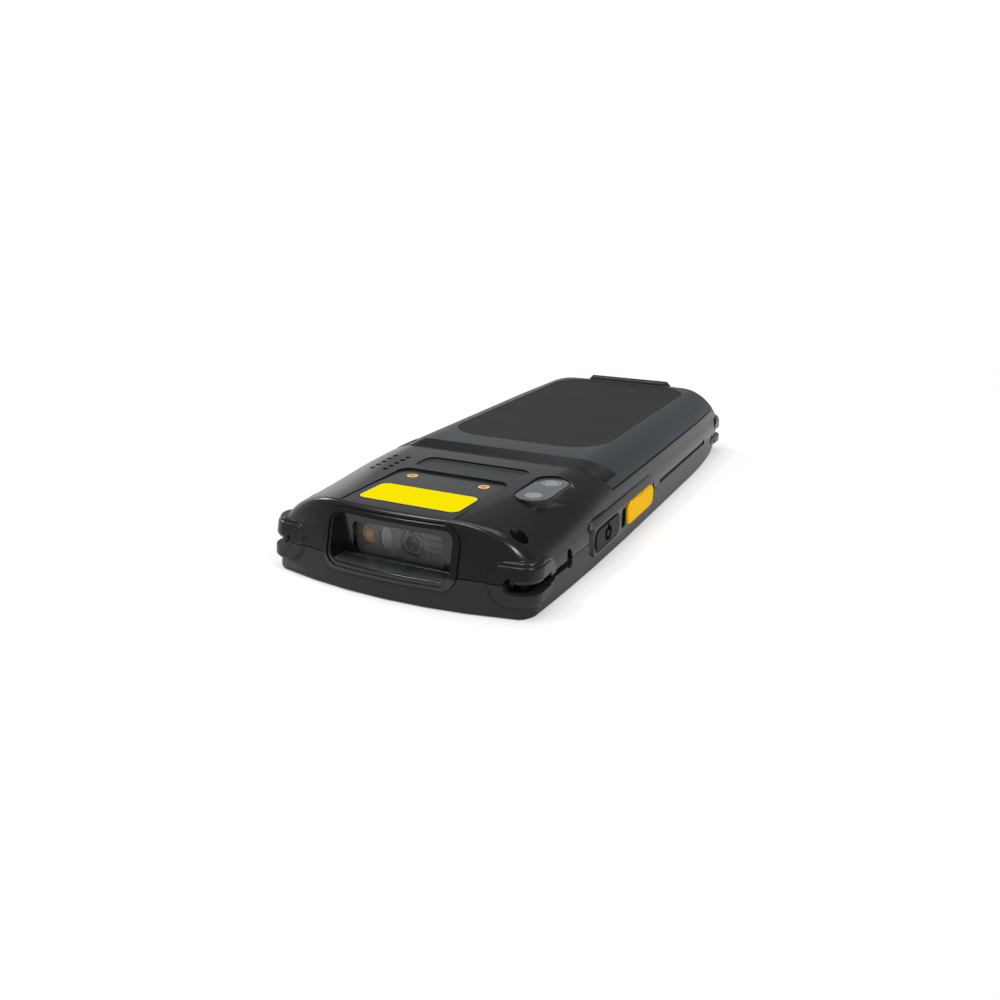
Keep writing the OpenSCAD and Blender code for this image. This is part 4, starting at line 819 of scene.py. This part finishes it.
def seen_directly(tree):
    """One for camera, glossy and transmission rays, zero for light; then one for glossy rays alone."""
    rays = tree.nodes.new("ShaderNodeLightPath").outputs
    seen = calc(tree, "ADD", rays["Is Camera Ray"], rays["Is Glossy Ray"])
    return calc(tree, "ADD", seen, rays["Is Transmission Ray"], clamp=True), rays["Is Glossy Ray"]


def floor_finish():
    """White paper that takes the shadow near the terminal and turns plain white further out."""
    mat = finish_of("studio_white", (0.9, 0.9, 0.9), 0.9, level=0.1)
    tree = mat.node_tree
    output = next(n for n in tree.nodes if n.type == "OUTPUT_MATERIAL")
    distance = tree.nodes.new("ShaderNodeVectorMath")
    distance.operation = "LENGTH"
    link(tree, coords_of(tree), distance.inputs[0])
    share = ranged(tree, distance.outputs["Value"], FLOOR_NEAR, FLOOR_FAR, FLOOR_SHARE, 1.0)
    glow = tree.nodes.new("ShaderNodeEmission")
    blend = tree.nodes.new("ShaderNodeMixShader")
    seen, glossy = seen_directly(tree)
    link(tree, calc(tree, "MULTIPLY", share, seen), blend.inputs["Fac"])
    link(tree, ranged(tree, glossy, 0, 1, 1.0, FLOOR_GLOSS), glow.inputs["Strength"])
    link(tree, shader_of(tree).outputs[0], blend.inputs[1])
    link(tree, glow.outputs[0], blend.inputs[2])
    link(tree, blend.outputs[0], output.inputs["Surface"])
    return mat


def studio_floor():
    bm = bmesh.new()
    bmesh.ops.create_circle(bm, cap_ends=True, segments=64, radius=FLOOR_R)
    bmesh.ops.translate(bm, verts=bm.verts, vec=(0, 0, -FLOOR_DROP))
    mesh = bpy.data.meshes.new("studio_floor")
    bm.to_mesh(mesh)
    bm.free()
    mesh.materials.append(floor_finish())
    obj = bpy.data.objects.new("studio_floor", mesh)
    bpy.context.scene.collection.objects.link(obj)


def lamp(name, place, target, size, power):
    """Soft box aimed at a point."""
    light = bpy.data.lights.new(name, "AREA")
    light.shape = "RECTANGLE"
    light.size, light.size_y = size
    light.energy = power
    obj = bpy.data.objects.new(name, light)
    obj.location = place
    obj.rotation_euler = (Vector(target) - Vector(place)).to_track_quat("-Z", "Y").to_euler()
    bpy.context.scene.collection.objects.link(obj)


def facing(tree, direction, way):
    """How much a direction faces a given way."""
    node = tree.nodes.new("ShaderNodeVectorMath")
    node.operation = "DOT_PRODUCT"
    link(tree, direction, node.inputs[0])
    node.inputs[1].default_value = way
    return node.outputs["Value"]


def studio_world():
    """Backdrop all round: white to the eye, graded in gloss, and a low even light."""
    world = bpy.data.worlds.new("studio")
    world.use_nodes = True
    bpy.context.scene.world = world
    sky = world.node_tree
    background = sky.nodes["Background"]
    background.inputs["Color"].default_value = (1, 1, 1, 1)
    direction = sky.nodes.new("ShaderNodeTexCoord").outputs["Generated"]
    ahead = facing(sky, direction, (-math.sin(AZIMUTH), math.cos(AZIMUTH), 0))
    tilt = (BACKDROP_SLOPE * math.cos(AZIMUTH), BACKDROP_SLOPE * math.sin(AZIMUTH), 1)
    rise = facing(sky, direction, tilt)
    low_part = ranged(sky, rise, *BACKDROP_RISE, 1, 0)
    far_part = ranged(sky, ahead, *BACKDROP_TURN, 0, 1)
    backdrop = ranged(sky, calc(sky, "MULTIPLY", low_part, far_part), 0, 1, CEILING, 1.0)
    seen, glossy = seen_directly(sky)
    plain = ranged(sky, seen, 0, 1, AMBIENT, 1.0)
    mirrored = calc(sky, "MULTIPLY", glossy, calc(sky, "SUBTRACT", backdrop, 1.0))
    link(sky, calc(sky, "ADD", plain, mirrored), background.inputs["Strength"])


def place_camera():
    """Camera ahead of the head and to the right, looking slightly down."""
    camera = bpy.data.cameras.new("camera")
    camera.lens = 33.38
    camera.sensor_width = 36.0
    camera.clip_start = 0.01
    camera.clip_end = 20
    forward = Vector((-math.sin(AZIMUTH) * math.cos(ELEVATION), math.cos(AZIMUTH) * math.cos(ELEVATION),
                      -math.sin(ELEVATION)))
    right = forward.cross(Vector((0, 0, 1))).normalized()
    up = right.cross(forward)
    rolled_right = right * math.cos(ROLL) + up * math.sin(ROLL)
    rolled_up = up * math.cos(ROLL) - right * math.sin(ROLL)
    pose = Matrix((rolled_right, rolled_up, -forward)).transposed().to_4x4()
    pose.translation = CAMERA_PLACE
    view = bpy.data.objects.new("camera", camera)
    view.matrix_world = pose
    bpy.context.scene.collection.objects.link(view)
    bpy.context.scene.camera = view


studio_floor()
lamp("overhead", (-0.1, 0.25, 1.1), (0, 0.05, 0), (0.8, 0.6), 4.4)
lamp("right_box", (0.61, -0.31, 0.73), (0, 0, 0), (0.15, 0.17), 3.0)
lamp("front_box", (-0.1, -0.5, 0.95), (0, 0, 0), (0.34, 0.14), 2.4)
lamp("rim_box", (-0.42, -0.33, 0.85), (0, 0, 0), (0.14, 0.14), 2.1)
lamp("left_box", (-0.82, 0.14, 0.56), (0, 0, 0), (0.17, 0.14), 2.6)
studio_world()
place_camera()
bpy.context.scene.view_settings.view_transform = "Standard"
